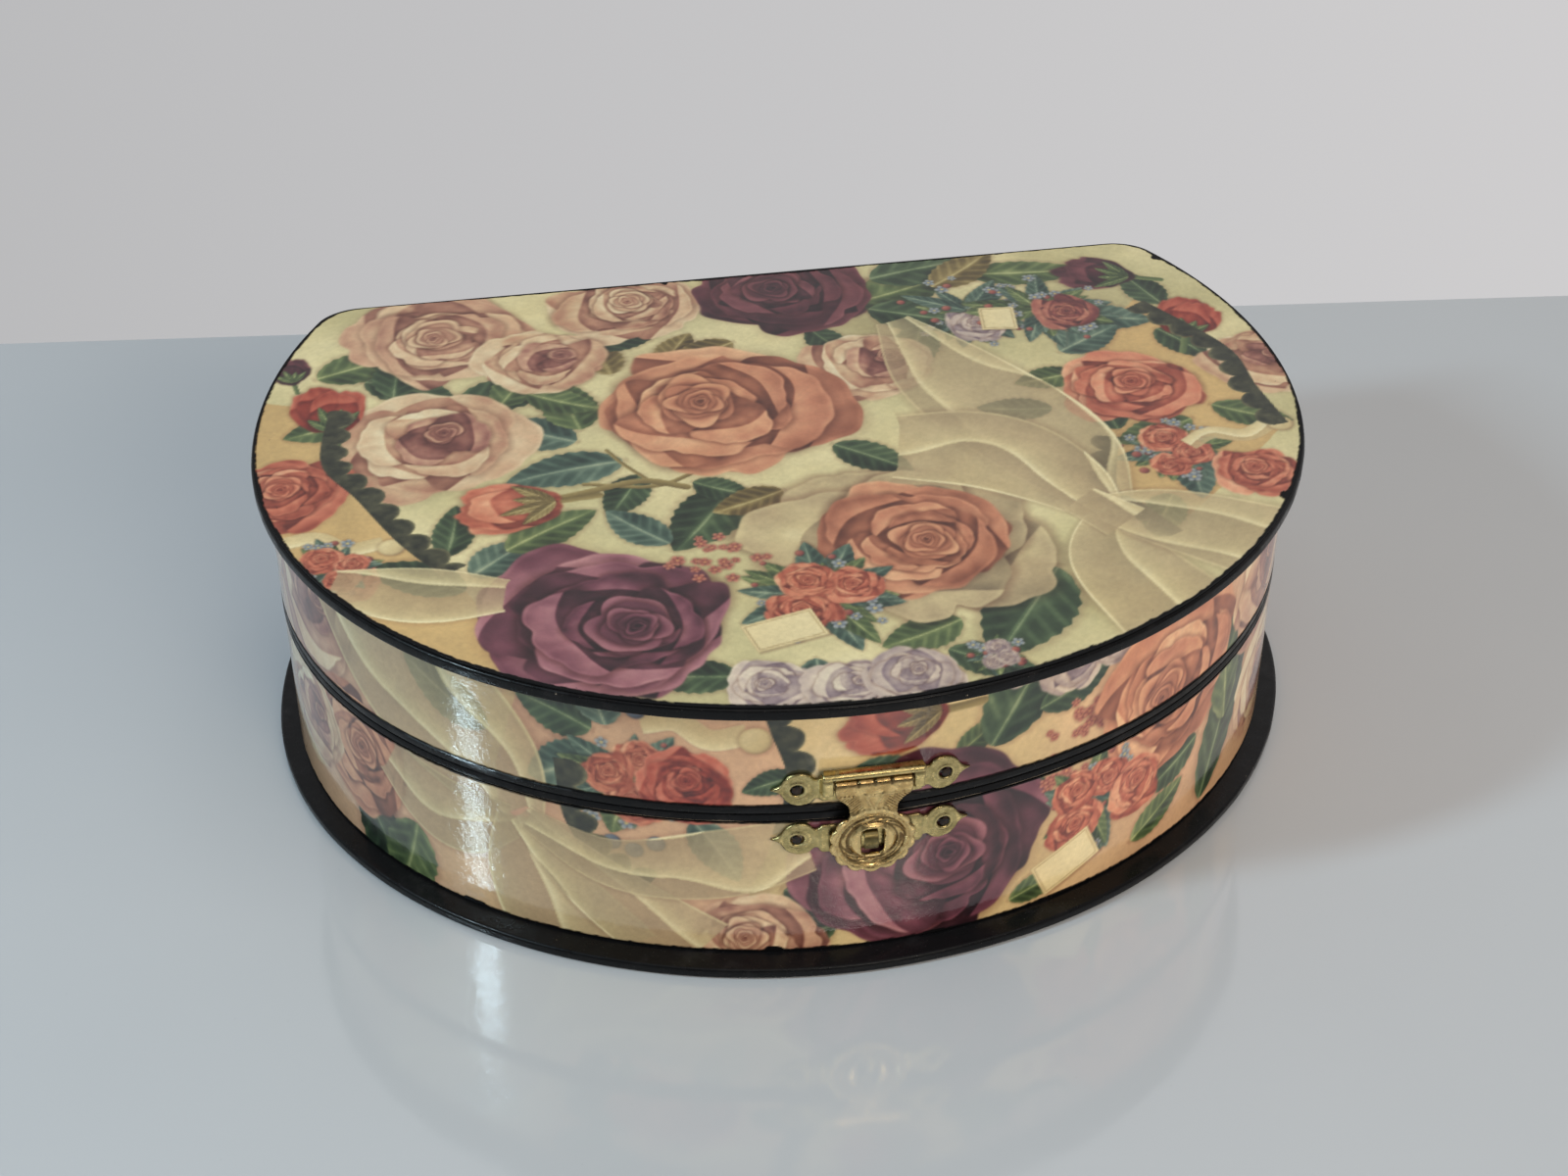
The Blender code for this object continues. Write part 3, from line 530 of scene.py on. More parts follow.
def paint_lid_top(sheet):
    """The lid's print, laid out as seen from above with the clasp at the bottom."""
    left = (-160, 60), (-128, 48), (-131, 21), (-112, -20), (-98, -42), (-90, -60), (-90, -90), (-160, -90)
    right = (118, 70), (137, 38), (142, -5), (118, -30), (97, -49), (85, -28), (92, -2), (84, 22), (100, 50)
    border_patch(sheet, left, TAN)
    border_patch(sheet, right, TAN)
    leaves(sheet, (
        (-132, 66, 20, 30, 17, GREENS), (-118, 44, 200, 26, 15, GREENS), (-92, 46, 15, 34, 18, DARKS),
        (-80, 42, 60, 24, 14, GREENS), (-118, 62, 330, 30, 16, DARKS), (-126, 20, 250, 24, 14, DARKS),
        (-60, 20, 150, 26, 17, TEALS), (-58, 26, 95, 26, 17, GREENS), (-48, 8, 190, 34, 17, TEALS),
        (-44, 0, 240, 22, 13, DARKS), (-20, -10, 235, 34, 20, DARKS), (-30, -6, 330, 18, 11, DARKS),
        (-46, 54, 100, 20, 13, TWIGS), (-30, 56, 60, 20, 12, TWIGS), (30, 82, 20, 36, 21, GREENS),
        (36, 78, 335, 34, 19, DARKS), (40, 96, 10, 40, 20, DARKS), (70, 94, 355, 38, 15, GREENS),
        (60, -62, 235, 44, 25, DARKS), (30, -80, 200, 24, 14, GREENS), (-96, -46, 150, 30, 15, DARKS),
        (-94, -40, 40, 22, 14, TEALS), (-84, -30, 30, 30, 15, GREENS), (96, 66, 340, 26, 15, TEALS),
        (90, 32, 190, 20, 12, GREENS), (116, 2, 200, 26, 14, GREENS), (112, -14, 260, 24, 13, TEALS),
        (126, 66, 110, 22, 13, DARKS), (120, 52, 300, 22, 13, DARKS), (94, 0, 100, 22, 12, DARKS),
        (100, -34, 240, 22, 13, GREENS), (-110, 52, 80, 26, 15, DARKS), (-72, 48, 330, 24, 13, GREENS),
        (-50, 70, 20, 24, 13, DARKS), (-8, 66, 200, 22, 13, TWIGS), (16, 70, 300, 22, 12, DARKS),
        (50, 66, 250, 28, 15, DARKS), (-40, -34, 130, 24, 13, TEALS), (-100, -30, 80, 24, 12, DARKS),
        (-30, -94, 170, 26, 14, DARKS), (-10, -90, 260, 20, 11, TEALS), (24, -92, 330, 24, 13, DARKS),
        (88, 44, 30, 24, 14, TEALS), (78, 14, 170, 22, 12, DARKS), (124, 8, 330, 24, 13, GREENS),
        (12, 6, 320, 26, 14, DARKS), (-6, -14, 200, 22, 13, TWIGS), (58, 88, 40, 30, 15, TWIGS),
    ), 40, 2.1)
    stem(sheet, [(-60, -2), (-40, -6), (-24, 2), (-14, 6)], 1.6, TWIGS)
    stem(sheet, [(-40, -6), (-48, 6), (-52, 14)], 1.2, TWIGS)
    open_rose(sheet, -98, 89, 26, PINKS, 3, 0.75, 0.4, MAUVES)
    rose(sheet, -37, 92, 23, IVORIES, 5, 0.7, (0.1, 0.1), 1.0)
    rose(sheet, -92, 80, 25, PINKS, 4, 0.75, (-0.15, 0.15), 0.5)
    open_rose(sheet, -66, 64, 20, IVORIES, 7, 0.75, 0.2, MAUVES)
    rose(sheet, 12, 92, 29, MAROONS, 9, 0.62, (-0.1, 0.1), 0.3)
    open_rose(sheet, -103, 25, 29, IVORIES, 11, 0.82, 0.9, MAUVES)
    open_rose(sheet, 30, 46, 22, IVORIES, 13, 0.85, 0.1, MAUVES)
    bud(sheet, -128, 38, deg(95), 24, REDS, 15)
    bud(sheet, -139, 66, deg(100), 14, MAROONS, 16)
    bud(sheet, 119, 84, deg(160), 22, MAROONS, 17)
    bud(sheet, 128, 48, deg(70), 22, REDS, 18)
    open_rose(sheet, 146, 30, 16, IVORIES, 19, 1.1, 0.6, MAUVES)
    rose(sheet, -16, 26, 38, PEACHES, 21, 0.88, (-0.18, 0.2), 0.9)
    stem(sheet, [(-74, -9), (-60, -6), (-44, -3), (-32, -8)], 2.6, TWIGS)
    bud(sheet, -70, -9, deg(184), 27, CORALS, 23, TWIGS)
    rose(sheet, -63, -64, 36, WINES, 25, 0.92, (0.22, -0.16), 0.2)
    rose(sheet, 103, 21, 22, CORALS, 27, 0.85, (0.1, 0.1), 0.6)
    rose(sheet, -143, 8, 17, CORALS, 29, 1.15, (0.0, 0.1), 0.2)
    rose(sheet, -129, -36, 11, CORALS, 31, 1.0, (0.0, 0.1), 0.4)
    scroll(sheet, -129, -20, 30, 6, deg(-12))
    posy(sheet, -130, -30, 20, 33, CORALS)
    rng = np.random.default_rng(12)
    for way, length in ((205, 34), (120, 40), (165, 44), (-35, 42), (20, 36), (-80, 36), (75, 34)):
        petal(sheet, 24, -44, deg(way), length, length * 0.95, SHEERS, rng, 0.55, 0.5)
    rose(sheet, 24, -42, 26, PEACHES, 37, 0.95, (0.18, -0.12), 1.6)
    sprig(sheet, -28, -43, 15, BERRIES, 39, 22)
    posy(sheet, -4, -64, 33, 41, CORALS)
    card(sheet, -16, -77, 20, 12, deg(14))
    posy(sheet, 66, 72, 32, 42, LILACS, 1)
    posy(sheet, 88, 69, 32, 43, BERRIES, 1)
    card(sheet, 74, 66, 11, 13, deg(-6))
    posy(sheet, 106, -13, 24, 45, CORALS)
    rose(sheet, 127, -27, 12, CORALS, 47, 0.9, (0.0, 0.1), 0.4)
    scroll(sheet, 126, -8, 30, 6, deg(12))
    for x, y, size in ((-22, -100, 13), (-4, -103, 12), (14, -101, 13)):
        open_rose(sheet, x, y, size, LILACS, 49 + x, 0.8, x * 0.1)
    posy(sheet, 36, -96, 12, 51, LILACS)
    scalloped(sheet, [(-128, 48), (-131, 21), (-122, 2), (-112, -20), (-101, -38)], 7)
    scalloped(sheet, [(142, -5), (139, 16), (137, 38), (120, 68)], 7)
    scalloped(sheet, [(97, -52), (90, -38), (85, -28), (92, -4)], 7)
    ribbon(sheet, [(-131, -38, 0.7), (-108, -46, 1.2), (-86, -50, 0.7)], 20, 53, 0.85, 1.4)
    ribbon(sheet, [(42, 70, 0.3), (54, 34, 1.0), (72, -2, 1.1), (81, -34, 0.45)], 36, 55, 0.78, 1.6)
    ribbon(sheet, [(30, 2, 1.0), (54, -4, 1.2), (70, -20, 0.9), (79, -38, 0.4)], 32, 57, 0.88, 1.8)
    ribbon(sheet, [(80, -40, 0.4), (78, -62, 1.0), (88, -90, 1.3)], 28, 59, 0.85, 1.6)
    ribbon(sheet, [(80, -38, 0.5), (98, -46, 1.0), (124, -64, 1.3)], 28, 61, 0.82, 1.6)
    ribbon(sheet, [(74, -32, 0.8), (84, -45, 1.0)], 17, 64, 0.95, 0.8)
    sheet.grain(91)


def paint_wall(sheet):
    """The print round both walls: along the front middle at 0, to the right as the clasp is seen."""
    left = (-100, -5), (-98, 60), (-86, 99), (-27, 99), (-22, 78), (-18, 62), (-24, 40), (-40, -5)
    border_patch(sheet, left, ROSY)
    rosy = step(45, 120, np.abs(sheet.x + 20)) * 0.75
    sheet.rgb *= 1 + rosy[None, :, None] * np.array((0.0, -0.13, -0.02), np.float32)
    scatter(sheet, -415, -190, 71)
    scatter(sheet, 178, 415, 72)
    leaves(sheet, (
        (-150, 24, 300, 40, 24, DARKS), (-128, 24, 250, 34, 20, GREENS), (-184, 62, 120, 30, 16, GREENS),
        (-70, 78, 160, 22, 16, DARKS), (-68, 70, 210, 24, 17, TEALS), (-66, 80, 100, 20, 14, TEALS),
        (-60, 60, 250, 18, 12, GREENS), (-16, 66, 200, 16, 9, DARKS), (-20, 26, 330, 30, 15, DARKS),
        (-2, 66, 350, 22, 11, TEALS), (26, 66, 40, 16, 9, GREENS), (36, 66, 62, 40, 21, DARKS),
        (52, 44, 120, 14, 8, GREENS), (118, 6, 72, 62, 20, DARKS), (128, 30, 100, 50, 18, GREENS),
        (-100, 70, 150, 30, 16, DARKS), (-44, 50, 300, 24, 13, TEALS), (-6, 12, 200, 26, 14, DARKS),
        (50, 74, 20, 24, 13, DARKS), (80, 50, 240, 24, 13, TEALS), (112, 34, 200, 26, 14, DARKS),
        (134, 84, 60, 26, 14, GREENS), (86, 10, 30, 24, 12, GREENS), (150, 46, 60, 30, 16, DARKS),
        (44, 8, 15, 20, 10, GREENS),
    ), 140, 1.7)
    open_rose(sheet, -172, 78, 26, PINKS, 101, 0.95, 0.3, MAUVES)
    rose(sheet, -152, 38, 24, PEACHES, 103, 1.0, (0.15, 0.05), 0.4)
    open_rose(sheet, -178, 34, 18, IVORIES, 105, 1.0, 0.2, MAUVES)
    bud(sheet, 20, 82, deg(182), 26, REDS, 107, TWIGS)
    rose(sheet, -28, 6, 20, PINKS, 109, 0.8, (-0.1, 0.1), 0.8)
    posy(sheet, -60, 62, 28, 111, CORALS)
    scroll(sheet, -42, 80, 30, 7, deg(-8))
    rose(sheet, -45, 62, 12, REDS, 113, 1.0, (0.0, 0.1), 0.6)
    for x, y in ((-58, 86), (-52, 88), (-66, 40), (-60, 38), (-54, 41)):
        blob(sheet, x, y, 2.6, BLUES, 0.3)
    rose(sheet, 15, 33, 35, WINES, 115, 1.02, (0.28, -0.08), 0.5)
    sprig(sheet, 68, 66, 15, BERRIES, 117, 26)
    sprig(sheet, 58, 50, 9, BERRIES, 118, 12)
    for x, y, size in ((60, 86, 11), (74, 88, 10), (46, 91, 9)):
        open_rose(sheet, x, y, size, LILACS, 119 + x, 0.8, x * 0.2)
    rose(sheet, 98, 62, 29, PEACHES, 121, 1.05, (-0.1, -0.12), 1.1)
    posy(sheet, 68, 34, 30, 123, CORALS)
    rose(sheet, 86, 32, 10, CORALS, 125, 1.0, (0.0, 0.1), 0.9)
    card(sheet, 62, 15, 20, 13, deg(24))
    open_rose(sheet, 148, 70, 22, PINKS, 127, 1.0, 0.5, MAUVES)
    open_rose(sheet, 156, 26, 20, IVORIES, 129, 1.0, 0.9, MAUVES)
    scalloped(sheet, [(-28, 99), (-22, 80), (-18, 64), (-22, 46)], 7)
    scalloped(sheet, [(-80, 66), (-78, 46), (-70, 32), (-58, 24)], 8)
    ribbon(sheet, [(-150, 96, 0.8), (-126, 78, 1.2), (-106, 62, 1.0), (-93, 44, 0.4)], 42, 131, 0.82, 1.8)
    ribbon(sheet, [(-136, 44, 0.6), (-116, 34, 1.0), (-94, 40, 0.4)], 26, 133, 0.78, 1.4)
    ribbon(sheet, [(-93, 42, 0.35), (-88, 20, 0.9), (-74, -4, 1.3)], 34, 135, 0.85, 1.6)
    ribbon(sheet, [(-92, 43, 0.4), (-72, 24, 0.9), (-44, 2, 1.2)], 24, 137, 0.80, 1.5)
    ribbon(sheet, [(-90, 42, 0.4), (-66, 32, 0.8), (-38, 35, 1.1), (-14, 42, 0.9)], 22, 139, 0.88, 1.2)
    sheet.grain(93)


def scatter(sheet, low, high, seed):
    """A stretch of print on the back and sides: roses, leaves and ribbons in two uneven rows."""
    rng = np.random.default_rng(abs(seed))
    blooms = (PINKS, PEACHES, IVORIES, WINES, CORALS, MAROONS)
    count = int((high - low) / 33)
    spots = [(low + 33 * (i + 0.5 * (row + 0.5)), (24, 72)[row]) for i in range(count) for row in (0, 1)]
    for i, (x, y) in enumerate(spots):
        x, y = x + rng.uniform(-5, 5), y + rng.uniform(-7, 7)
        for _ in range(4):
            way, greens = rng.uniform(0, 6.28), (GREENS, DARKS, TEALS)[int(rng.integers(3))]
            size = rng.uniform(24, 36)
            leaf(sheet, x, y, way, size, size * 0.5, greens, int(rng.integers(999)))
    for i in rng.permutation(len(spots)):
        x, y = spots[i][0] + rng.uniform(-5, 5), spots[i][1] + rng.uniform(-7, 7)
        kind, colours = rng.uniform(), blooms[int(rng.integers(len(blooms)))]
        size, turn = rng.uniform(15, 25), rng.uniform(0, 6)
        own = seed + 7 * int(i)
        if kind < 0.45:
            rose(sheet, x, y, size, colours, own, 0.95, moved(0, 0, turn, 0.15), turn)
        elif kind < 0.72:
            open_rose(sheet, x, y, size, colours, own, 0.9, turn)
        elif kind < 0.86:
            posy(sheet, x, y, size, own, colours)
        else:
            bud(sheet, x, y, turn, size, colours, own)
    for start in np.arange(low + 20, high - 60, 110):
        line = [(start, 30, 0.8), (start + 20, 52, 1.1), (start + 44, 60, 0.5), (start + 70, 40, 1.0)]
        ribbon(sheet, line, 26, seed + int(start), 0.78, 1.6)


# ---------------------------------------------------------------- plan


def ellipse(angle, depth):
    """Points and outward normals of the oval of that depth."""
    points = np.stack([HALF_WIDTH * np.cos(angle), depth * np.sin(angle)], 1)
    normals = np.stack([np.cos(angle) / HALF_WIDTH, np.sin(angle) / depth], 1)
    return points, normals / np.linalg.norm(normals, axis=1, keepdims=True)


def half_plan():
    """Points and normals of the wall's outer face from the front's middle, by the right, to the back's."""
    low, high = 0.0, math.pi / 2
    for _ in range(60):
        middle = (low + high) / 2
        point, normal = ellipse(np.array([middle]), BACK_SWEEP)
        below = point[0, 1] - CORNER_RADIUS * normal[0, 1] < BACK_DEPTH - CORNER_RADIUS
        low, high = (middle, high) if below else (low, middle)
    front = ellipse(np.linspace(-math.pi / 2, 0, 700), FRONT_DEPTH)
    side = ellipse(np.linspace(0, low, 300)[1:], BACK_SWEEP)
    point, normal = side[0][-1], side[1][-1]
    turns = np.linspace(math.atan2(normal[1], normal[0]), math.pi / 2, 60)[1:]
    facing = np.stack([np.cos(turns), np.sin(turns)], 1)
    corner = point - CORNER_RADIUS * normal + CORNER_RADIUS * facing
    points = np.concatenate([front[0], side[0], corner, [[0.0, BACK_DEPTH]]])
    normals = np.concatenate([front[1], side[1], facing, [[0.0, 1.0]]])
    return points, normals


class Plan:
    """The box's outline at even spacing, in metres, from the middle of the back anticlockwise round to it."""

    def __init__(self, spacing):
        points, normals = half_plan()
        steps = np.linalg.norm(np.diff(points + SKIN * normals, axis=0), axis=1)
        along = np.concatenate([[0.0], np.cumsum(steps)])
        self.half = along[-1]
        count = int(round(self.half / spacing))
        even = np.linspace(0, self.half, count + 1)
        columns = [np.interp(even, along, column) for column in (*points.T, *normals.T)]
        right = np.stack(columns, 1)
        left = right[:0:-1] * (-1, 1, -1, 1)
        whole = np.concatenate([left, right[:-1]])
        self.points = whole[:, :2]
        self.normals = whole[:, 2:] / np.linalg.norm(whole[:, 2:], axis=1, keepdims=True)
        self.along = np.concatenate([-even[:0:-1], even[:-1]])

    def overhang(self, table):
        side, front, back = table
        end = np.where(self.normals[:, 1] < 0, front, back)
        return side + (end - side) * self.normals[:, 1] ** 2

    def ring(self, out, z):
        """Points round the plan, that far out of the wall's outer face, at that height."""
        spots = self.points + np.asarray(out).reshape(-1, 1) * self.normals
        return np.column_stack([spots[:, 0], spots[:, 1] + WIDEST_Y, np.broadcast_to(z, len(spots))])


SMOOTH = Plan(0.0012)
FINE = Plan(PITCH * MM)


# ---------------------------------------------------------------- objects


def built(name, verts, faces, body, slot_name, look, replaced=(), colours=None, sharp=40):
    """Makes a piece of the object from its vertices and faces."""
    mesh = bpy.data.meshes.new(name)
    mesh.from_pydata(np.asarray(verts).tolist(), [], faces)
    mesh.validate()
    mesh.update()
    mesh.shade_smooth()
    mesh.set_sharp_from_angle(angle=math.radians(sharp))
    if colours is not None:
        layer = mesh.color_attributes.new("ink", "FLOAT_COLOR", "POINT")
        layer.data.foreach_set("color", np.ascontiguousarray(colours, np.float32).ravel())
    mesh.materials.append(look)
    made = bpy.data.objects.new(name, mesh)
    bpy.context.scene.collection.objects.link(made)
    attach(made, body)
    if replaced:
        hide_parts(*replaced)
    return made


def strip_faces(rows, columns, closed_rows=False, closed_columns=True):
    """Quads over a grid of vertices stored row by row. Rows go outward-up, columns anticlockwise."""
    last_row = rows if closed_rows else rows - 1
    last_column = columns if closed_columns else columns - 1
    row, column = np.meshgrid(np.arange(last_row), np.arange(last_column), indexing="ij")
    row, column = row.ravel(), column.ravel()
    up, on = (row + 1) % rows, (column + 1) % columns
    grid = np.stack([row * columns + column, row * columns + on, up * columns + on, up * columns + column], 1)
    return grid.tolist()


def swept(name, rings, *how):
    """A closed profile swept round the plan: one ring of points for each corner of the profile."""
    return built(name, np.concatenate(rings), strip_faces(len(rings), len(rings[0]), True), *how)


def board(name, rings, *how):
    """A panel: its rings run from its underside to its top, and both are filled."""
    count = len(rings[0])
    faces = strip_faces(len(rings), count)
    faces.append(list(range(count - 1, -1, -1)))
    faces.append(list(range((len(rings) - 1) * count, len(rings) * count)))
    return built(name, np.concatenate(rings), faces, *how)


def rounded(low, high, radius, steps):
    """(offset, z) points of an edge whose two corners are rounded, from its underside up."""
    turns = [math.pi / 2 * i / steps for i in range(steps + 1)]
    under = [(radius * (math.sin(t) - 1), low + radius * (1 - math.cos(t))) for t in turns]
    return under + [(out, low + high - z) for out, z in reversed(under)]


def wander(along, size, reach, seed):
    """Unevenness along the plan, repeating round it: about one wave per size."""
    turns = along / FINE.half * math.pi
    radius = FINE.half / math.pi / size
    return reach * noise(radius * np.cos(turns) + 31, radius * np.sin(turns) + 31, seed, 2)


def painted_edge(depth, along, seed, mean):
    """How much black paint covers a print that far from its edge, in millimetres, with an uneven border."""
    border = mean + wander(along, 0.011, 0.40 * mean, seed) + wander(along, 0.0014, 0.34 * mean, seed + 3)
    drips = 1.5 * mean * step(0.50, 0.85, wander(along, 0.006, 1.0, seed + 5))
    return step(0.22, -0.22, depth - border - drips)


def inked(sheet, x, y, paint):
    """A sheet's colours at points in millimetres: linear vertex colours, with black paint in their alpha."""
    column = np.clip((x - sheet.x[0]) / sheet.pitch, 0, len(sheet.x) - 1.001)
    row = np.clip((y - sheet.y[0]) / sheet.pitch, 0, len(sheet.y) - 1.001)
    c, r = column.astype(int), row.astype(int)
    u, v = (column - c)[:, None], (row - r)[:, None]
    low = sheet.rgb[r, c] * (1 - u) + sheet.rgb[r, c + 1] * u
    high = sheet.rgb[r + 1, c] * (1 - u) + sheet.rgb[r + 1, c + 1] * u
    colour = np.clip(low * (1 - v) + high * v, 0, 1)
    linear = np.where(colour < 0.04045, colour / 12.92, ((colour + 0.055) / 1.055) ** 2.4)  # from sRGB
    return np.column_stack([linear, np.clip(paint, 0, 1)])


# ---------------------------------------------------------------- printed sheets and boards


def wall_print(name, sheet, print_z, edges, body, seed, cover):
    """The printed paper on a wall. edges is how deep black paint covers it (below, above), in millimetres."""
    low, high = print_z
    rows = int(round((high - low) / (PITCH * MM))) + 1
    heights = np.concatenate([[low], np.linspace(low, high, rows), [high]])
    outs = [FIT] + [SKIN] * rows + [FIT]
    rings = [FINE.ring(out, z) for out, z in zip(outs, heights)]
    z = np.repeat(heights, len(FINE.along)) / MM
    along = np.tile(FINE.along, rows + 2)
    below = painted_edge(z - low / MM, along, seed, edges[0])
    above = painted_edge(high / MM - z, along, seed + 7, edges[1])
    specks = step(0.80, 0.86, noise(along / MM / 2.1, z / 2.1, seed + 11, 2))
    near = step(5.0, 0.5, np.minimum(z - low / MM, high / MM - z))
    colours = inked(sheet, along / MM, z, np.maximum(np.maximum(below, above), specks * near))
    return swept(name, rings, body, "print_paper", cover, [name.replace("print", "paper")], colours)


def lid_print(sheet, cover):
    """The printed paper on the lid: a square grid pulled out to the lid's outline."""
    half = int(round(HALF_WIDTH / MM / PITCH))
    deep = int(round(0.7 * half))
    u, v = np.meshgrid(np.linspace(-1, 1, 2 * half + 1), np.linspace(-1, 1, 2 * deep + 1))
    disc_x, disc_y = u * np.sqrt(1 - v * v / 2), v * np.sqrt(1 - u * u / 2)
    edge = FINE.points + (FINE.overhang(LID_OVERHANG) - PRINT_INSET).reshape(-1, 1) * FINE.normals
    facing = np.arctan2(edge[:, 1], edge[:, 0])
    order = np.argsort(facing)
    facing, reach, place = facing[order], np.hypot(*edge[order].T), FINE.along[order]
    way = np.arctan2(disc_y, disc_x)
    out = np.interp(way, facing, reach, period=2 * math.pi)
    rho = np.hypot(disc_x, disc_y)
    x, y = rho * out * np.cos(way), rho * out * np.sin(way)
    rows, columns = x.shape
    index = np.arange(rows * columns).reshape(rows, columns)
    border = np.concatenate([index[0], index[1:, -1], index[-1, -2::-1], index[-2:0:-1, 0]])
    x, y, rho, out, way = (array.ravel() for array in (x, y, rho, out, way))
    swell = 0.00006 * noise(x / 0.03 + 9, y / 0.03 + 9, 5, 2) * step(1.0, 0.9, rho)
    top = np.column_stack([x, y + WIDEST_Y, TOP_PRINT[HIGH] + swell])
    under = top[border]
    under[:, 2] = TOP_PRINT[LOW]
    lowest = rows * columns + np.arange(len(border))
    skirt = np.column_stack([lowest, np.roll(lowest, -1), np.roll(border, -1), border])
    faces = strip_faces(rows, columns, False, False) + skirt.tolist() + [lowest[::-1].tolist()]
    along = place[np.clip(np.searchsorted(facing, way), 0, len(facing) - 1)]
    depth = (1 - rho) * out / MM * 0.93
    paint = painted_edge(depth, along, 61, 1.0)
    specks = step(0.82, 0.88, noise(x / MM / 1.7, (y + WIDEST_Y) / MM / 1.7, 67, 2)) * step(7.0, 1.0, depth)
    colours = inked(sheet, x / MM, (y + WIDEST_Y) / MM, np.maximum(paint, specks))
    colours = np.concatenate([colours, colours[border]])
    return built("lid_top_print", np.concatenate([top, under]), faces, "lid", "print_paper", cover,
                 ["lid_top_paper"], colours)


def black_board(node, low, high, table, body, seed, look):
    """A black board with rounded edges, a little uneven along them."""
    reach = SMOOTH.overhang(table) + wander(SMOOTH.along, 0.02, 0.00008, seed)
    rings = [SMOOTH.ring(reach + out, z) for out, z in rounded(low, high, BOARD_ROUND, 5)]
    return board(node + "_painted", rings, body, "black_paint", look, [node])


def rim_band(node, side, body, seed, look):
    """A black strip round a rim: it covers the wall's edge and turns over its outer face."""
    rim, edge = (BASE_RIM[HIGH], BASE_RIM[LOW]) if side < 0 else (LID_RIM[LOW], LID_RIM[HIGH])
    inner, outer, turn = -WALL - FIT - PAPER, FIT + BAND, BAND_ROUND
    wavy = edge + side * wander(SMOOTH.along, 0.009, 0.00025, seed)
    behind = rim + side * BAND
    rings = [SMOOTH.ring(out, z) for out, z in (
        (inner, rim), (outer - turn, rim), (outer - 0.3 * turn, rim + side * 0.3 * turn),
        (outer, rim + side * turn), (outer, wavy - side * turn), (outer - turn, wavy),
        (FIT, wavy), (FIT, behind), (inner, behind),
    )]
    if side < 0:
        rings.reverse()
    return swept(node + "_painted", rings, body, "black_paint", look, [node])


def band_of(node, name, inner, outer, *how):
    """A plain strip of rectangular section round the plan, in place of a CAD node of that height."""
    low, high = span(node, 2)
    corners = (inner, low), (outer, low), (outer, high), (inner, high)
    return swept(name, [SMOOTH.ring(out, z) for out, z in corners], *how, [node])


# ---------------------------------------------------------------- stamped metal


def sides_of(loops):
    """The straight sides of closed loops, as pairs of points."""
    for loop in loops:
        yield from zip(np.asarray(loop, float), np.roll(np.asarray(loop, float), -1, axis=0))


def dotted(loop, spacing):
    """A closed loop with points at even spacing along its straight sides, in metres."""
    made = []
    for start, end in sides_of([loop]):
        count = max(1, math.ceil(math.hypot(*(end - start)) / spacing - 1e-6))
        made += [start + (end - start) * i / count for i in range(count)]
    return np.array(made)


def inside(loops, x, y):
    """Which points lie inside a closed loop, and outside the loops within it."""
    result = np.zeros(np.shape(x), bool)
    for (x0, y0), (x1, y1) in sides_of(loops):
        if y0 != y1:
            result ^= ((y0 > y) != (y1 > y)) & (x < (x1 - x0) * (y - y0) / (y1 - y0) + x0)
    return result


def distance_to(loops, x, y):
    """Distance from points to the nearest side of some closed loops."""
    best = np.full(np.shape(x), 1e9)
    for (x0, y0), (x1, y1) in sides_of(loops):
        dx, dy = x1 - x0, y1 - y0
        t = np.clip(((x - x0) * dx + (y - y0) * dy) / (dx * dx + dy * dy + 1e-18), 0, 1)
        best = np.minimum(best, np.hypot(x - x0 - t * dx, y - y0 - t * dy))
    return best


def ridge(value, at, width):
    """A smooth ridge of height 1, there."""
    return np.exp(-(((value - at) / width) ** 2))


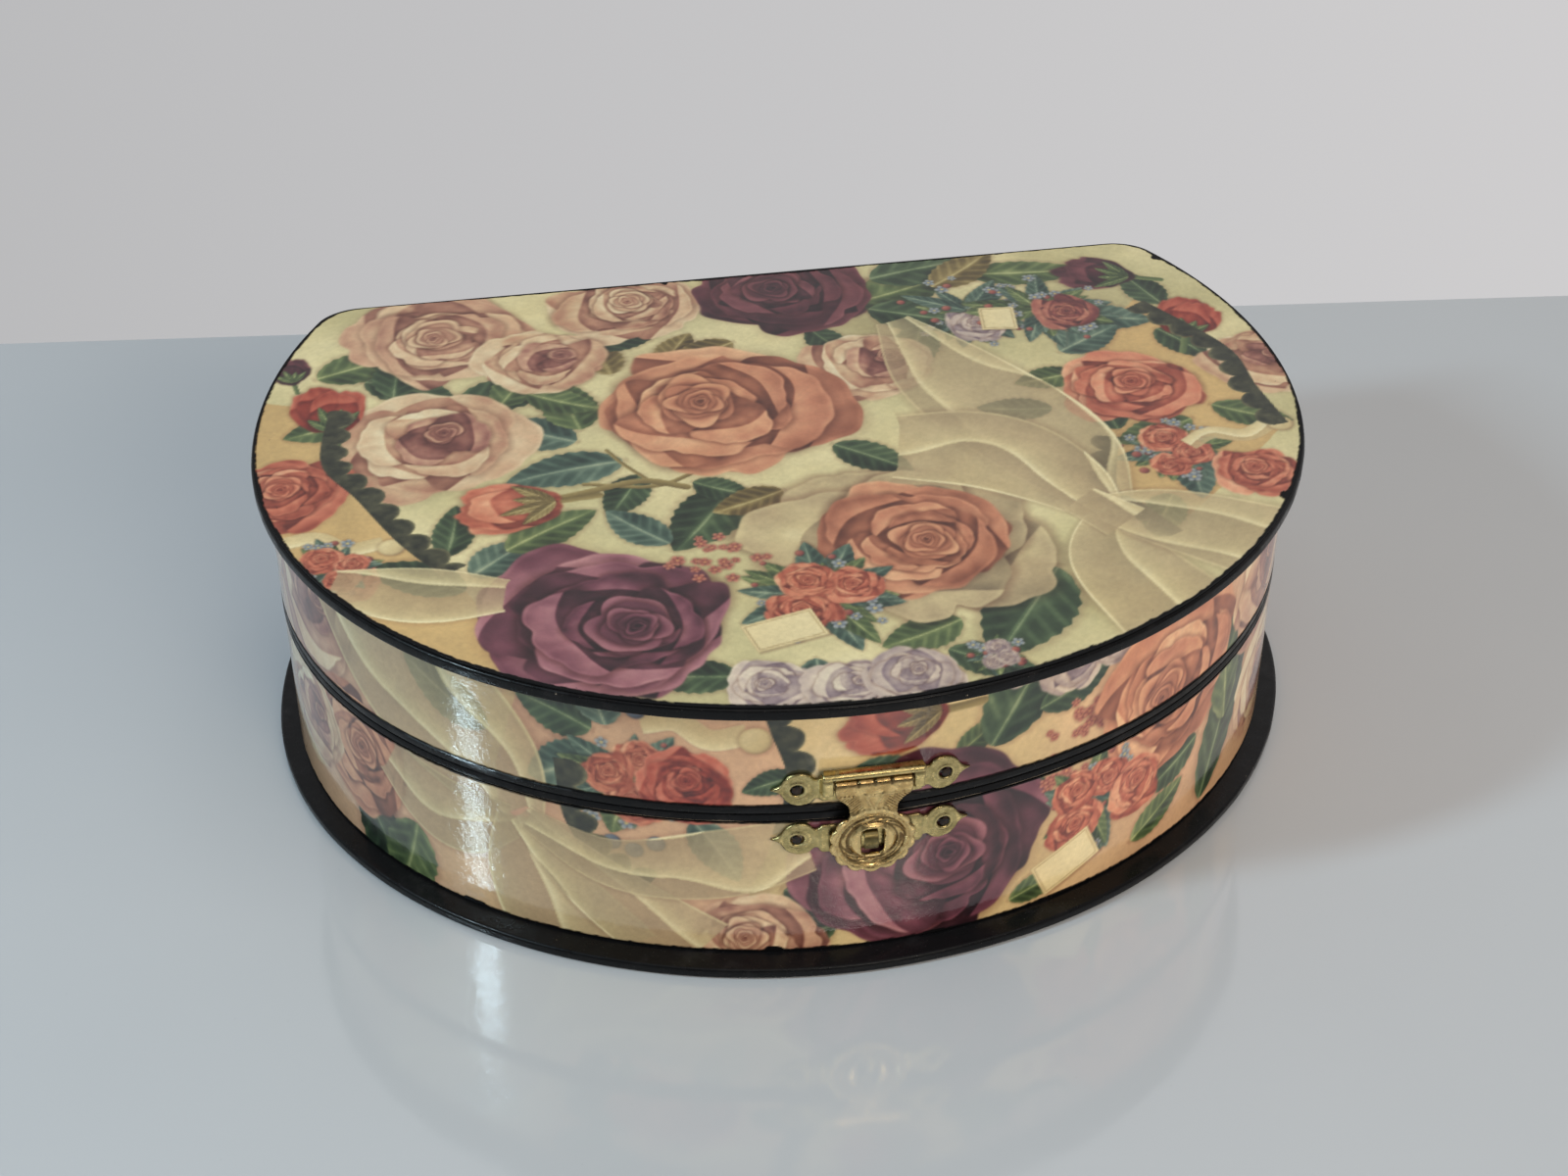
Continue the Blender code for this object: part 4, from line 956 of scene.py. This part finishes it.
def stamped(name, loops, relief, place, body, look, replaced, gauge=METAL):
    """Sheet metal inside the first loop and outside the others. relief(x, y) is how far its front stands, and
    how worn it is there, and place(x, out, y) puts a point of it. The edges are rolled over a little."""
    loops = [dotted(loop, STAMP) for loop in loops]
    low, high = loops[0].min(0), loops[0].max(0)
    xs, ys = np.arange(low[0], high[0], STAMP), np.arange(low[1], high[1], STAMP * 0.866)
    grid_x, grid_y = np.meshgrid(xs, ys)
    grid_x = grid_x + (np.arange(len(ys)) % 2 * STAMP / 2)[:, None]
    grid_x, grid_y = grid_x.ravel(), grid_y.ravel()
    keep = inside(loops, grid_x, grid_y) & (distance_to(loops, grid_x, grid_y) > STAMP * 0.55)
    points, edges = [], []
    for loop in loops:
        first = len(points)
        points += [Vector(p) for p in loop]
        edges += [(first + i, first + (i + 1) % len(loop)) for i in range(len(loop))]
    points += [Vector(p) for p in zip(grid_x[keep], grid_y[keep])]
    flat, _, triangles = delaunay_2d_cdt(points, edges, [], 1, 1e-9)[:3]
    flat = np.array([tuple(p) for p in flat])
    triangles = np.array([t for t in triangles if len(t) == 3])
    triangles = triangles[inside(loops, *flat[triangles].mean(1).T)]
    x, y = flat.T
    rolled = ROLL - np.sqrt(np.maximum(ROLL**2 - (ROLL - np.minimum(distance_to(loops, x, y), ROLL)) ** 2, 0))
    height, detail = relief(x, y)
    front_out = height - rolled
    back_out = np.minimum(height - gauge, front_out - THINNEST)
    count = len(flat)
    verts = [place(*spot) for spot in zip(x, front_out, y)] + [place(*spot) for spot in zip(x, back_out, y)]
    sides = np.concatenate([triangles[:, [0, 1]], triangles[:, [1, 2]], triangles[:, [2, 0]]])
    known = {(int(a), int(b)) for a, b in sides}
    faces = triangles.tolist() + (triangles[:, ::-1] + count).tolist()
    faces += [[b, a, a + count, b + count] for a, b in known if (b, a) not in known]
    detail = np.concatenate([detail - 0.7 * rolled, np.full(count, -HOLLOW)])
    worn = np.clip(0.5 + detail / RELIEF, 0, 1)
    colours = np.column_stack([worn, worn, worn, np.ones(2 * count)])
    tidy(built(name, verts, faces, body, "brass", look, replaced, colours, 50))


def tidy(made):
    """Points every face of a closed mesh outward, and drops loose points."""
    bm = bmesh.new()
    bm.from_mesh(made.data)
    loose = [vert for vert in bm.verts if not vert.link_faces]
    bmesh.ops.delete(bm, geom=loose, context="VERTS")
    bmesh.ops.recalc_face_normals(bm, faces=bm.faces)
    bm.to_mesh(made.data)
    bm.free()


def face_out(x):
    """How far the front paper's face stands from the plane that touches its middle, at x from the clasp's."""
    share = (np.asarray(x) + CLASP_X) / HALF_WIDTH
    return (FRONT_DEPTH + SKIN) * (np.sqrt(1 - share**2) - 1)


def straight(x, out, z):
    """A point that far in front of the middle of the front paper."""
    return CLASP_X + x, FRONT_Y - out, z


def mirrored(half):
    """A closed outline from its right half, which runs from its bottom to its top."""
    return half + [(-x, z) for x, z in reversed(half) if x > 1e-9]


LOBE = (  # the lower half of a plate's end, in millimetres
    (14.2, -3.2), (15.2, -3.3), (16.6, -4.7), (18.9, -5.3), (21.2, -4.8), (22.9, -3.4), (23.9, -1.7),
    (24.9, -0.75), (26.6, 0.0),
)
CORNER_X, BEVEL = 0.0131, 0.0006  # of a plate's plain middle
HOLE_SIDES = 28


def lobed(z, low, high):
    """A clasp plate's outline, with a lobe at each end that runs to a point, and its two holes."""
    lower = [tuple(p) for p in smooth_line(np.array(LOBE) * MM, 5)]
    lobe = lower + [(x, -y) for x, y in reversed(lower[:-1])]
    half = [(0.0, low), (CORNER_X, low), (CORNER_X + BEVEL, low + BEVEL)] + lobe
    half += [(CORNER_X + BEVEL, high - BEVEL), (CORNER_X, high), (0.0, high)]
    turns = 2 * math.pi * np.arange(HOLE_SIDES) / HOLE_SIDES
    holes = [[moved(side * HOLE_X, z, turn, SINK_R) for turn in turns] for side in (-1, 1)]
    return [mirrored([(x, z + y) for x, y in half]), *holes]


def plate_relief(x, z, middle):
    """A plate's front: rims round its holes, and a shallow dish between rim and edge."""
    from_hole = np.hypot(np.abs(x) - HOLE_X, z - middle)
    rim = 0.00028 * ridge(from_hole, SINK_R + 0.0006, 0.0005)
    dish = -0.00012 * ridge(from_hole, 0.0037, 0.0008)
    dents = 0.00005 * noise(x / 0.0016 + 20, z / 0.0016 + 20, 81, 2)
    return FIT + METAL + face_out(x), rim + dish + dents


def hasp_plate(look):
    """The clasp's upper plate: its pressed-up middle stands over the hasp's barrel."""
    wide, low, high = BARREL_HALF + FIT, PIN.z - BARREL_R - FIT - 0.0004, PIN.z + BARREL_R + FIT
    window = [(-wide, low), (wide, low), (wide, high), (-wide, high)]

    def relief(x, z):
        plain, detail = plate_relief(x, z, HASP_Z)
        drop = z - PIN.z
        bar = step(-0.0036, -0.0024, drop) * step(0.0052, 0.0040, drop)
        ends = step(HOUSING_HALF, HOUSING_HALF - 0.0009, np.abs(x))
        above = step(-0.0020, -0.0014, drop)
        brow = 0.0004 * ridge(drop, 0.0033, 0.0006) - 0.00025 * ridge(drop, 0.0022, 0.0004)
        top = 0.0037 + 0.00004 * noise(x / 0.002 + 5, z / 0.002, 83, 2)
        share = bar * ends * (above + (1 - above) * step(0.0100, 0.0108, np.abs(x)))
        detail = detail + (brow - detail) * share
        return plain + (top - plain) * share + detail, detail

    loops = lobed(HASP_Z, -0.0043, 0.0066) + [window]
    return stamped("hasp_plate_pressed", loops, relief, straight, "lid", look, ["hasp_plate"])


def catch_plate(look):
    """The clasp's lower plate."""

    def relief(x, z):
        bar = step(HOUSING_HALF, HOUSING_HALF - 0.0008, np.abs(x))
        bar = bar * step(0.0046, 0.0030, np.abs(z - CATCH_Z + 0.0004))
        plain, detail = plate_relief(x, z, CATCH_Z)
        return plain + 0.0002 * bar + detail, detail

    loops = lobed(CATCH_Z, -0.0050, 0.0042)
    return stamped("catch_plate_pressed", loops, relief, straight, "base", look, ["catch_plate"])


def tongue(look):
    """The catch's hook, which passes through the hasp's eye and turns down."""
    path = (1.0, 2.6), (2.2, 2.6), (3.6, 2.1), (4.4, 0.9), (4.5, -0.8), (4.0, -2.2)  # out and up, in mm
    line = np.array(smooth_line(np.array(path) * MM, 4))
    along = np.gradient(line, axis=0)
    along /= np.linalg.norm(along, axis=1, keepdims=True)
    across = np.stack([-along[:, 1], along[:, 0]], 1)
    half, round_off, middle = 0.0019, 0.00015, -0.0006
    bottom = [(-half, -0.3), (-half + round_off, -0.45), (half - round_off, -0.45), (half, -0.3)]
    section = bottom + [(x, -thick) for x, thick in reversed(bottom)]
    verts = []
    for spot, side in zip(line, across):
        for x, thick in section:
            out, z = spot + side * thick * METAL
            verts.append(straight(middle + x, out, CATCH_Z + z))
    count = len(section)
    ends = [list(range(first, first + count)) for first in (0, len(verts) - count)]
    tidy(built("catch_tongue", verts, strip_faces(len(line), count) + ends, "base", "brass", look))


def hasp(look):
    """The swinging hasp: one strip with an embossed, scalloped disc below, rolled round the pin above."""
    face = PIN_OUT + BARREL_R
    half = []
    for turn in np.radians(np.linspace(-90, 57, 121)):  # from the disc's foot up to the neck
        lobes = abs(math.cos(SCALLOPS / 2 * (turn + math.pi / 2)))
        half.append(moved(0.0, -EYE_DROP, turn, DISC_R - 0.0005 + 0.0010 * lobes**0.7))
    half[0] = (0.0, half[0][1])
    neck_side = (6.4, -9.2), (6.6, -7.4), (7.8, -5.6), (9.6, -4.0), (10.2, -2.6)  # in mm
    half += [tuple(p) for p in smooth_line(np.array(neck_side) * MM, 5)]
    roll_end = deg(255) * BARREL_R  # the strip's length round the pin
    half += [(BARREL_HALF, -0.0018), (BARREL_HALF, roll_end), (0.0, roll_end)]
    wide, tall = EYE_HALF
    cut = 0.6
    corner = [(cut, -1.0), (0.93, -0.88), (1.0, -cut), (1.0, cut), (0.93, 0.88), (cut, 1.0)]
    eye = [(wide * x, tall * y - EYE_DROP) for x, y in mirrored(corner)]

    def relief(x, t):
        from_eye = np.hypot(x, t + EYE_DROP)
        way = np.arctan2(t + EYE_DROP, x)
        box = np.maximum(np.abs(x) / wide, np.abs(t + EYE_DROP) / tall)
        disc = step(DISC_R + 0.001, DISC_R, from_eye)
        flute = 0.5 + 0.5 * np.cos(SCALLOPS * (way + math.pi / 2))
        rim = (0.00026 + 0.00026 * flute) * step(0.0096, 0.0104, from_eye)
        groove = 0.00034 * ridge(from_eye, 0.0093, 0.0003) - 0.00036 * ridge(from_eye, 0.0087, 0.0003)
        boss = 0.00050 * step(0.0062, 0.0054, from_eye) - 0.00030 * ridge(from_eye, 0.0066, 0.0004)
        boss = boss + 0.00022 * step(1.30, 1.12, box)
        vine = 0.5 + 0.5 * np.sin(7 * way + 5 * np.sin(from_eye * 1400 + way * 2))
        field = step(0.0087, 0.0083, from_eye) * step(0.0064, 0.0068, from_eye)
        made = disc * (rim + groove + boss - 0.00030 * step(0.35, 0.80, vine) * field)
        neck = (1 - disc) * step(-0.0020, -0.0030, t)
        vee = np.abs(np.abs(x) - 0.42 * (t + 0.0088)) * 0.9
        fern = np.sin((t + 0.9 * np.abs(x)) * 6200) * step(0.0012, 0.0022, vee)
        made = made + neck * (0.00034 * ridge(vee, 0.0, 0.00035) - 0.00022 * step(0.0, 0.8, fern))
        ticks = sum(ridge(x, at, 0.00022) for at in (-0.0042, 0.0002, 0.0046))
        made = made - 0.00035 * ticks * step(-0.0004, 0.0002, t) * step(0.0030, 0.0020, t)
        made = made + 0.00018 * ridge(t, -0.0032, 0.0004)
        made = made + 0.00003 * noise(x / 0.001 + 7, t / 0.001 + 7, 85, 2)
        return made, made - 0.00020 * step(-0.0008, 0.0004, t)

    def place(x, out, t):
        if t <= 0:
            return straight(x, face + out + FLAP_LEAN * t, PIN.z + t)
        return straight(x, *moved(PIN_OUT, PIN.z, t / BARREL_R, BARREL_R + out))

    gauge = BARREL_R - PIN_R - 0.00012
    return stamped("hasp_pressed", [mirrored(half), eye], relief, place, "hasp", look, ["hasp"], gauge)



# ---------------------------------------------------------------- looks


class Look:
    """Builds the nodes of a material or of the world."""

    def __init__(self, holder, **inputs):
        holder.use_nodes = True
        self.nodes, self.links = holder.node_tree.nodes, holder.node_tree.links
        self.places = self.add("TexCoord")
        self.shade(**inputs)

    def feed(self, socket, value):
        """Links an output to a socket, or sets a plain value on it."""
        if isinstance(value, bpy.types.NodeSocket):
            self.links.new(value, socket)
        else:
            socket.default_value = value

    def shade(self, **inputs):
        for key, value in inputs.items():
            self.feed(self.nodes["Principled BSDF"].inputs[key.replace("_", " ")], value)

    def add(self, kind, inputs=(), **settings):
        """Adds a node, feeds its sockets and returns its outputs."""
        node = self.nodes.new("ShaderNode" + kind)
        for key, value in settings.items():
            setattr(node, key, value)
        for key, value in dict(inputs).items():
            self.feed(node.inputs[key], value)
        return node.outputs

    def noise(self, scale, detail, rough=0.55, stretch=None, twist=0.0):
        where = self.places["Object"]
        if stretch:
            where = self.add("Mapping", {"Vector": where, "Scale": stretch})["Vector"]
        inputs = {"Vector": where, "Scale": scale, "Detail": detail, "Roughness": rough, "Distortion": twist}
        return self.add("TexNoise", inputs)["Fac"]

    def cells(self, scale, feature="F1"):
        inputs = {"Vector": self.places["Object"], "Scale": scale}
        return self.add("TexVoronoi", inputs, feature=feature)["Distance"]

    def spread(self, value, low, high, to_low=0.0, to_high=1.0):
        ends = {0: value, 1: low, 2: high, 3: to_low, 4: to_high}
        return self.add("MapRange", ends, interpolation_type="SMOOTHSTEP")[0]

    def cloud(self, noise, low, high, to_low=0.0, to_high=1.0):
        """A noise, given as its arguments, or cells of one scale, spread between two ends."""
        source = self.noise(*noise) if isinstance(noise, tuple) else self.cells(noise)
        return self.spread(source, low, high, to_low, to_high)

    def mix(self, share, first, second, how="MIX"):
        return self.add("Mix", {0: share, 6: first, 7: second}, data_type="RGBA", blend_type=how)[2]

    def math(self, how, first, second):
        return self.add("Math", {0: first, 1: second}, operation=how)[0]

    def stain(self, colour, mask, share, tint, how="MIX"):
        """Tints a colour where the mask is, by that share at most."""
        return self.mix(self.math("MULTIPLY", mask, share), colour, (*tint, 1.0), how)

    def ink(self):
        ink = self.add("Attribute", attribute_name="ink")
        return ink["Color"], ink["Alpha"]

    def bump(self, *layers):
        """Raises each (height, strength, distance in metres) over the one before."""
        under = {}
        for height, strength, distance in layers:
            inputs = {"Height": height, "Strength": strength, "Distance": distance, **under}
            under = {"Normal": self.add("Bump", inputs)["Normal"]}
        return under["Normal"]


BLACK = (0.004, 0.004, 0.0045, 1.0)


def print_look(name, varnish):
    """Printed paper under old varnish: grain, yellowed patches, crazing, and black paint at its edges."""
    material = bpy.data.materials.new(name)
    look = Look(material)
    colour, paint = look.ink()
    for mask, share, tint in (
        (look.cloud((2600, 2), 0.3, 0.7), 0.10, (0.50, 0.42, 0.30)),
        (look.cloud((22, 5, 0.6), 0.42, 0.75), 0.22, (0.86, 0.70, 0.45)),
        (look.cloud((140, 4, 0.7), 0.62, 0.80), 0.16, (0.40, 0.31, 0.22)),
    ):
        colour = look.stain(colour, mask, share, tint, "MULTIPLY")
    colour = look.stain(colour, look.cloud(420, 0.06, 0.02), 0.30, (0.16, 0.11, 0.07))
    rough = look.cloud((60, 4), 0.3, 0.7, 0.34, 0.46)
    look.shade(
        Base_Color=look.mix(paint, colour, BLACK),
        Roughness=look.math("ADD", rough, look.math("MULTIPLY", paint, -0.12)),
        Specular_IOR_Level=look.spread(paint, 0.0, 0.8, 0.30, 0.05),
        Coat_Weight=look.spread(paint, 0.0, 0.8, varnish, 0.08),
        Coat_Roughness=look.cloud((400, 3, 0.6, (1.0, 1.0, 0.25)), 0.35, 0.7, 0.05, 0.11), Coat_IOR=1.65,
    )
    craze = look.spread(look.cells(190, "DISTANCE_TO_EDGE"), 0.0, 0.035)
    fine, edge = look.noise(1700, 2), (paint, 0.8, 0.00012)
    look.shade(
        Normal=look.bump(
            (look.noise(55, 3), 0.30, 0.0006), (look.noise(420, 4, 0.65), 0.35, 0.00012),
            (fine, 0.30, 0.00003), (craze, 0.08, 0.00005), edge,
        ),
        Coat_Normal=look.bump(
            (look.noise(420, 2), 0.5, 0.00014), (fine, 0.12, 0.00003), (craze, 0.1, 0.00005), edge),
    )
    return material


def paint_look():
    """Black gloss paint laid on by hand: brush lines along the edge, dust and worn, greyer patches."""
    material = bpy.data.materials.new("black_gloss_paint")
    look = Look(material, Specular_IOR_Level=0.13, Coat_Weight=0.12, Coat_Roughness=0.09)
    colour = look.stain(BLACK, look.cloud((90, 5, 0.65), 0.52, 0.78), 0.55, (0.022, 0.020, 0.021))
    colour = look.stain(colour, look.cloud(700, 0.10, 0.04), 0.25, (0.16, 0.15, 0.14))
    colour = look.stain(colour, look.cloud((330, 3, 0.6), 0.735, 0.755), 0.7, (0.30, 0.25, 0.19))
    brushed = look.bump(
        (look.noise(230, 3, 0.5, (1.0, 1.0, 3.0)), 0.55, 0.00022), (look.noise(1500, 2), 0.25, 0.00004))
    look.shade(Base_Color=colour, Roughness=look.cloud((160, 4), 0.3, 0.72, 0.20, 0.46),
               Normal=brushed, Coat_Normal=brushed)
    return material


def metal_look(name, bright, base, dark, rough, embossed=True):
    """Stamped brass: bright where it is rubbed, brown in its hollows, with a thin tarnish over it."""
    material = bpy.data.materials.new(name)
    look = Look(material)
    bright, base, dark = (*bright, 1.0), (*base, 1.0), (*dark, 1.0)
    colour = look.mix(look.cloud((420, 5, 0.65), 0.36, 0.68), base, bright)
    stains = look.cloud((150, 4, 0.7, None, 1.2), 0.52, 0.72)
    colour = look.stain(colour, stains, 0.55, dark[:3])
    if embossed:
        worn, _ = look.ink()
        colour = look.mix(look.spread(worn, 0.46, 0.16, 0.0, 0.75), colour, dark)
        colour = look.mix(look.spread(worn, 0.62, 0.95, 0.0, 0.8), colour, bright)
    look.shade(
        Base_Color=colour, Metallic=look.spread(stains, 0.2, 1.0, 1.0, 0.72),
        Roughness=look.cloud((600, 4), 0.3, 0.7, rough - 0.09, rough + 0.14),
        Normal=look.bump((look.noise(900, 4, 0.6), 0.35, 0.00006), (look.noise(3200, 2), 0.25, 0.00002)),
    )
    return material


def plain_look(name, patches, first, second, rough, bumps, stains=(), **inputs):
    """Two colours in patches, with stains over them, and noises for roughness and bumps."""
    material = bpy.data.materials.new(name)
    look = Look(material, **inputs)
    colour = look.mix(look.cloud(*patches), (*first, 1.0), (*second, 1.0))
    for noise, low, high, share, tint in stains:
        colour = look.stain(colour, look.cloud(noise, low, high), share, tint)
    normal = look.bump(*((look.noise(*noise), strength, distance) for noise, strength, distance in bumps))
    look.shade(Base_Color=colour, Roughness=look.cloud(*rough), Normal=normal)
    return material


def steel_look():
    return plain_look(
        "dark_steel_look", ((700, 4, 0.6), 0.45, 0.7), (0.045, 0.042, 0.042), (0.10, 0.055, 0.032),
        ((500, 3), 0.3, 0.7, 0.34, 0.6), [((1500, 3), 0.4, 0.00004)], Metallic=0.85)


def liner_look():
    """Lining paper: dull rose-cream, fibres, foxing and a faint laid grain."""
    fibres = (900, 3, 0.6, (1.0, 6.0, 6.0), 0.6), 0.58, 0.72, 0.35, (0.83, 0.72, 0.60)
    foxing = (260, 4, 0.7), 0.66, 0.78, 0.45, (0.36, 0.22, 0.13)
    return plain_look(
        "lining_paper", ((30, 4), 0.3, 0.7), (0.60, 0.44, 0.37), (0.72, 0.57, 0.48),
        ((200, 3), 0.3, 0.7, 0.66, 0.84), [((1400, 3, 0.6), 0.45, 0.00007), ((60, 3), 0.3, 0.0005)],
        [fibres, foxing], Specular_IOR_Level=0.3)


def grey_board_look():
    plies = (500, 3, 0.6, (1.0, 1.0, 9.0))
    return plain_look(
        "grey_board_look", (plies, 0.3, 0.7), (0.25, 0.21, 0.17), (0.42, 0.37, 0.30),
        ((300, 3), 0.3, 0.7, 0.8, 0.95), [(plies, 0.4, 0.0001)], Specular_IOR_Level=0.25)


def floor_look():
    """A pale glossy table with faint smears."""
    smears = (7, 4, 0.6, (1.0, 2.5, 1.0)), 0.35, 0.7, 0.06, 0.11
    return plain_look(
        "table_top", ((3.0, 3), 0.3, 0.7), (0.455, 0.478, 0.502), (0.48, 0.503, 0.528), smears,
        [((38, 2), 0.16, 0.0005)], [(90, 0.028, 0.016, 0.18, (0.30, 0.31, 0.33))], Specular_IOR_Level=0.8)


# ---------------------------------------------------------------- the box


WALL_TINT_AND_SHADE = (1.0, 0.94, 0.90)  # of the walls' paper, against the lid's: darker, as painted shade on the upright walls, and a little warmer


def make_box():
    walls, top = print_look("varnished_print", 1.0), print_look("rubbed_print", 0.35)
    painted, lined, grey = paint_look(), liner_look(), grey_board_look()
    top_sheet = Sheet(-156, 156, -116, 116, INK_PITCH, 5)  # each sheet reaches a little past the box
    paint_lid_top(top_sheet)
    wall_sheet = Sheet(-428, 428, 0, 96, INK_PITCH, 15)
    # painted shade: the walls' print is made darker than the lid's, and a little warmer
    wall_sheet.rgb *= np.array(WALL_TINT_AND_SHADE, np.float32)
    paint_wall(wall_sheet)

    black_board("base_board", 0.0, FLOOR_TOP, BASE_OVERHANG, "base", 21, painted)
    black_board("lid_board", LID_UNDER, LID_TOP, LID_OVERHANG, "lid", 23, painted)
    rim_band("base_rim_band", -1, "base", 25, painted)
    rim_band("lid_rim_band", 1, "lid", 27, painted)
    wall_print("base_wall_print", wall_sheet, BASE_PRINT, (0.8, 0.5), "base", 31, walls)
    wall_print("lid_wall_print", wall_sheet, LID_PRINT, (0.5, 0.9), "lid", 37, walls)
    lid_print(top_sheet, top)

    inner = -WALL - FIT
    for half, flat in (("base", "base_floor_liner"), ("lid", "lid_top_liner")):
        band_of(f"{half}_wall", f"{half}_wall_board", -WALL, 0.0, half, "grey_board", grey)
        band_of(f"{half}_wall_liner", f"{half}_wall_lining", inner - PAPER, inner, half, "liner_paper", lined)
        rings = [SMOOTH.ring(inner - PAPER - FIT, z) for z in span(flat, 2)]
        board(flat.replace("liner", "lining"), rings, half, "liner_paper", lined, [flat])


def make_clasp():
    olive = metal_look("olive_brass", (0.84, 0.67, 0.31), (0.55, 0.44, 0.19), (0.11, 0.08, 0.03), 0.30)
    gold = metal_look("gold_bronze", (0.98, 0.72, 0.33), (0.64, 0.43, 0.18), (0.11, 0.06, 0.025), 0.28)
    hasp_plate(olive)
    catch_plate(olive)
    tongue(olive)
    hasp(gold)


def dress_metal_nodes():
    """The hinges, pins and brads keep their CAD shapes and get worn metal."""
    bright, base, dark = (0.62, 0.49, 0.22), (0.40, 0.31, 0.13), (0.09, 0.065, 0.03)
    brass = metal_look("hinge_brass", bright, base, dark, 0.36, False)
    looks = {"brass": brass, "dark_steel": steel_look()}
    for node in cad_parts.values():
        for held in node.material_slots:
            for slot_name, look in looks.items():
                if held.material and held.material.name.startswith(slot_name):
                    held.material = look


# ---------------------------------------------------------------- setting


def make_setting():
    mesh = bpy.data.meshes.new("table")
    far_left, far_right = (-5.0, 0.80), (5.0, -0.32)
    low = -0.0003  # just under the box
    mesh.from_pydata([(-5, -4, low), (5, -4, low), (*far_right, low), (*far_left, low)], [], [(0, 1, 2, 3)])
    mesh.materials.append(floor_look())
    table = bpy.data.objects.new("table", mesh)
    bpy.context.scene.collection.objects.link(table)
    table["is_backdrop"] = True

    world = bpy.data.worlds.new("studio")
    bpy.context.scene.world = world
    sky = Look(world)
    way = sky.add("SeparateXYZ", {0: sky.places["Generated"]})
    colour = None
    for axis, low, high, dim, bright in (
        ("Y", -0.2, 0.6, (0.13, 0.13, 0.13, 1), (0.64, 0.635, 0.64, 1)),
        ("X", -0.3, 0.5, (0.72, 0.73, 0.74, 1), (1.0, 0.99, 0.99, 1)),
    ):
        light = sky.mix(sky.add("MapRange", {0: way[axis], 1: low, 2: high})[0], dim, bright)
        colour = sky.mix(1.0, colour, light, "MULTIPLY") if colour else light
    sky.feed(sky.nodes["Background"].inputs["Color"], colour)

    def lamp(name, spot, aim, wide, high, power, colour):
        light = bpy.data.lights.new(name, "AREA")
        light.shape = "RECTANGLE"
        light.size, light.size_y = wide, high
        light.energy, light.color = power, colour
        made = bpy.data.objects.new(name, light)
        bpy.context.scene.collection.objects.link(made)
        made.location = spot
        made.rotation_euler = (Vector(aim) - Vector(spot)).to_track_quat("-Z", "Y").to_euler()
        made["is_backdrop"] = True
        return made

    lamp("window", (-1.19, -0.36, 0.99), (-0.10, -0.07, 0.04), 0.12, 0.28, 12.5, (0.66, 0.88, 1.0))
    lamp("ceiling", (0.2, -0.5, 2.1), (0.0, 0.0, 0.0), 1.7, 1.7, 8.5, (1.0, 0.95, 0.90))
    fill = lamp("room", (1.60, -1.9, 0.85), (0.0, 0.0, 0.03), 3.0, 1.6, 68.0, (1.0, 0.90, 0.79))
    fill.visible_glossy = False  # a soft fill, with no glare on the table
    lamp("spark", (0.35, -1.5, 1.15), (0.0, -0.1, 0.06), 0.6, 0.35, 4.5, (1.0, 0.90, 0.76))

    camera = bpy.data.cameras.new("camera")  # at the photograph's viewing angle
    camera.lens, camera.sensor_width = 60.7, 36.0
    camera.clip_start, camera.clip_end = 0.05, 50.0
    holder = bpy.data.objects.new("camera", camera)
    holder.location = (-0.1044, -0.6108, 0.5127)
    holder.rotation_euler = (0.931, 0.003, -0.1661)
    bpy.context.scene.collection.objects.link(holder)
    bpy.context.scene.camera = holder
    bpy.context.scene.view_settings.view_transform = "Standard"


make_box()
make_clasp()
dress_metal_nodes()
make_setting()

boxes = {"cad": cad_box, "shown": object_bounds()}
{name: [[float(v) for v in corner] for corner in box] for name, box in boxes.items()}
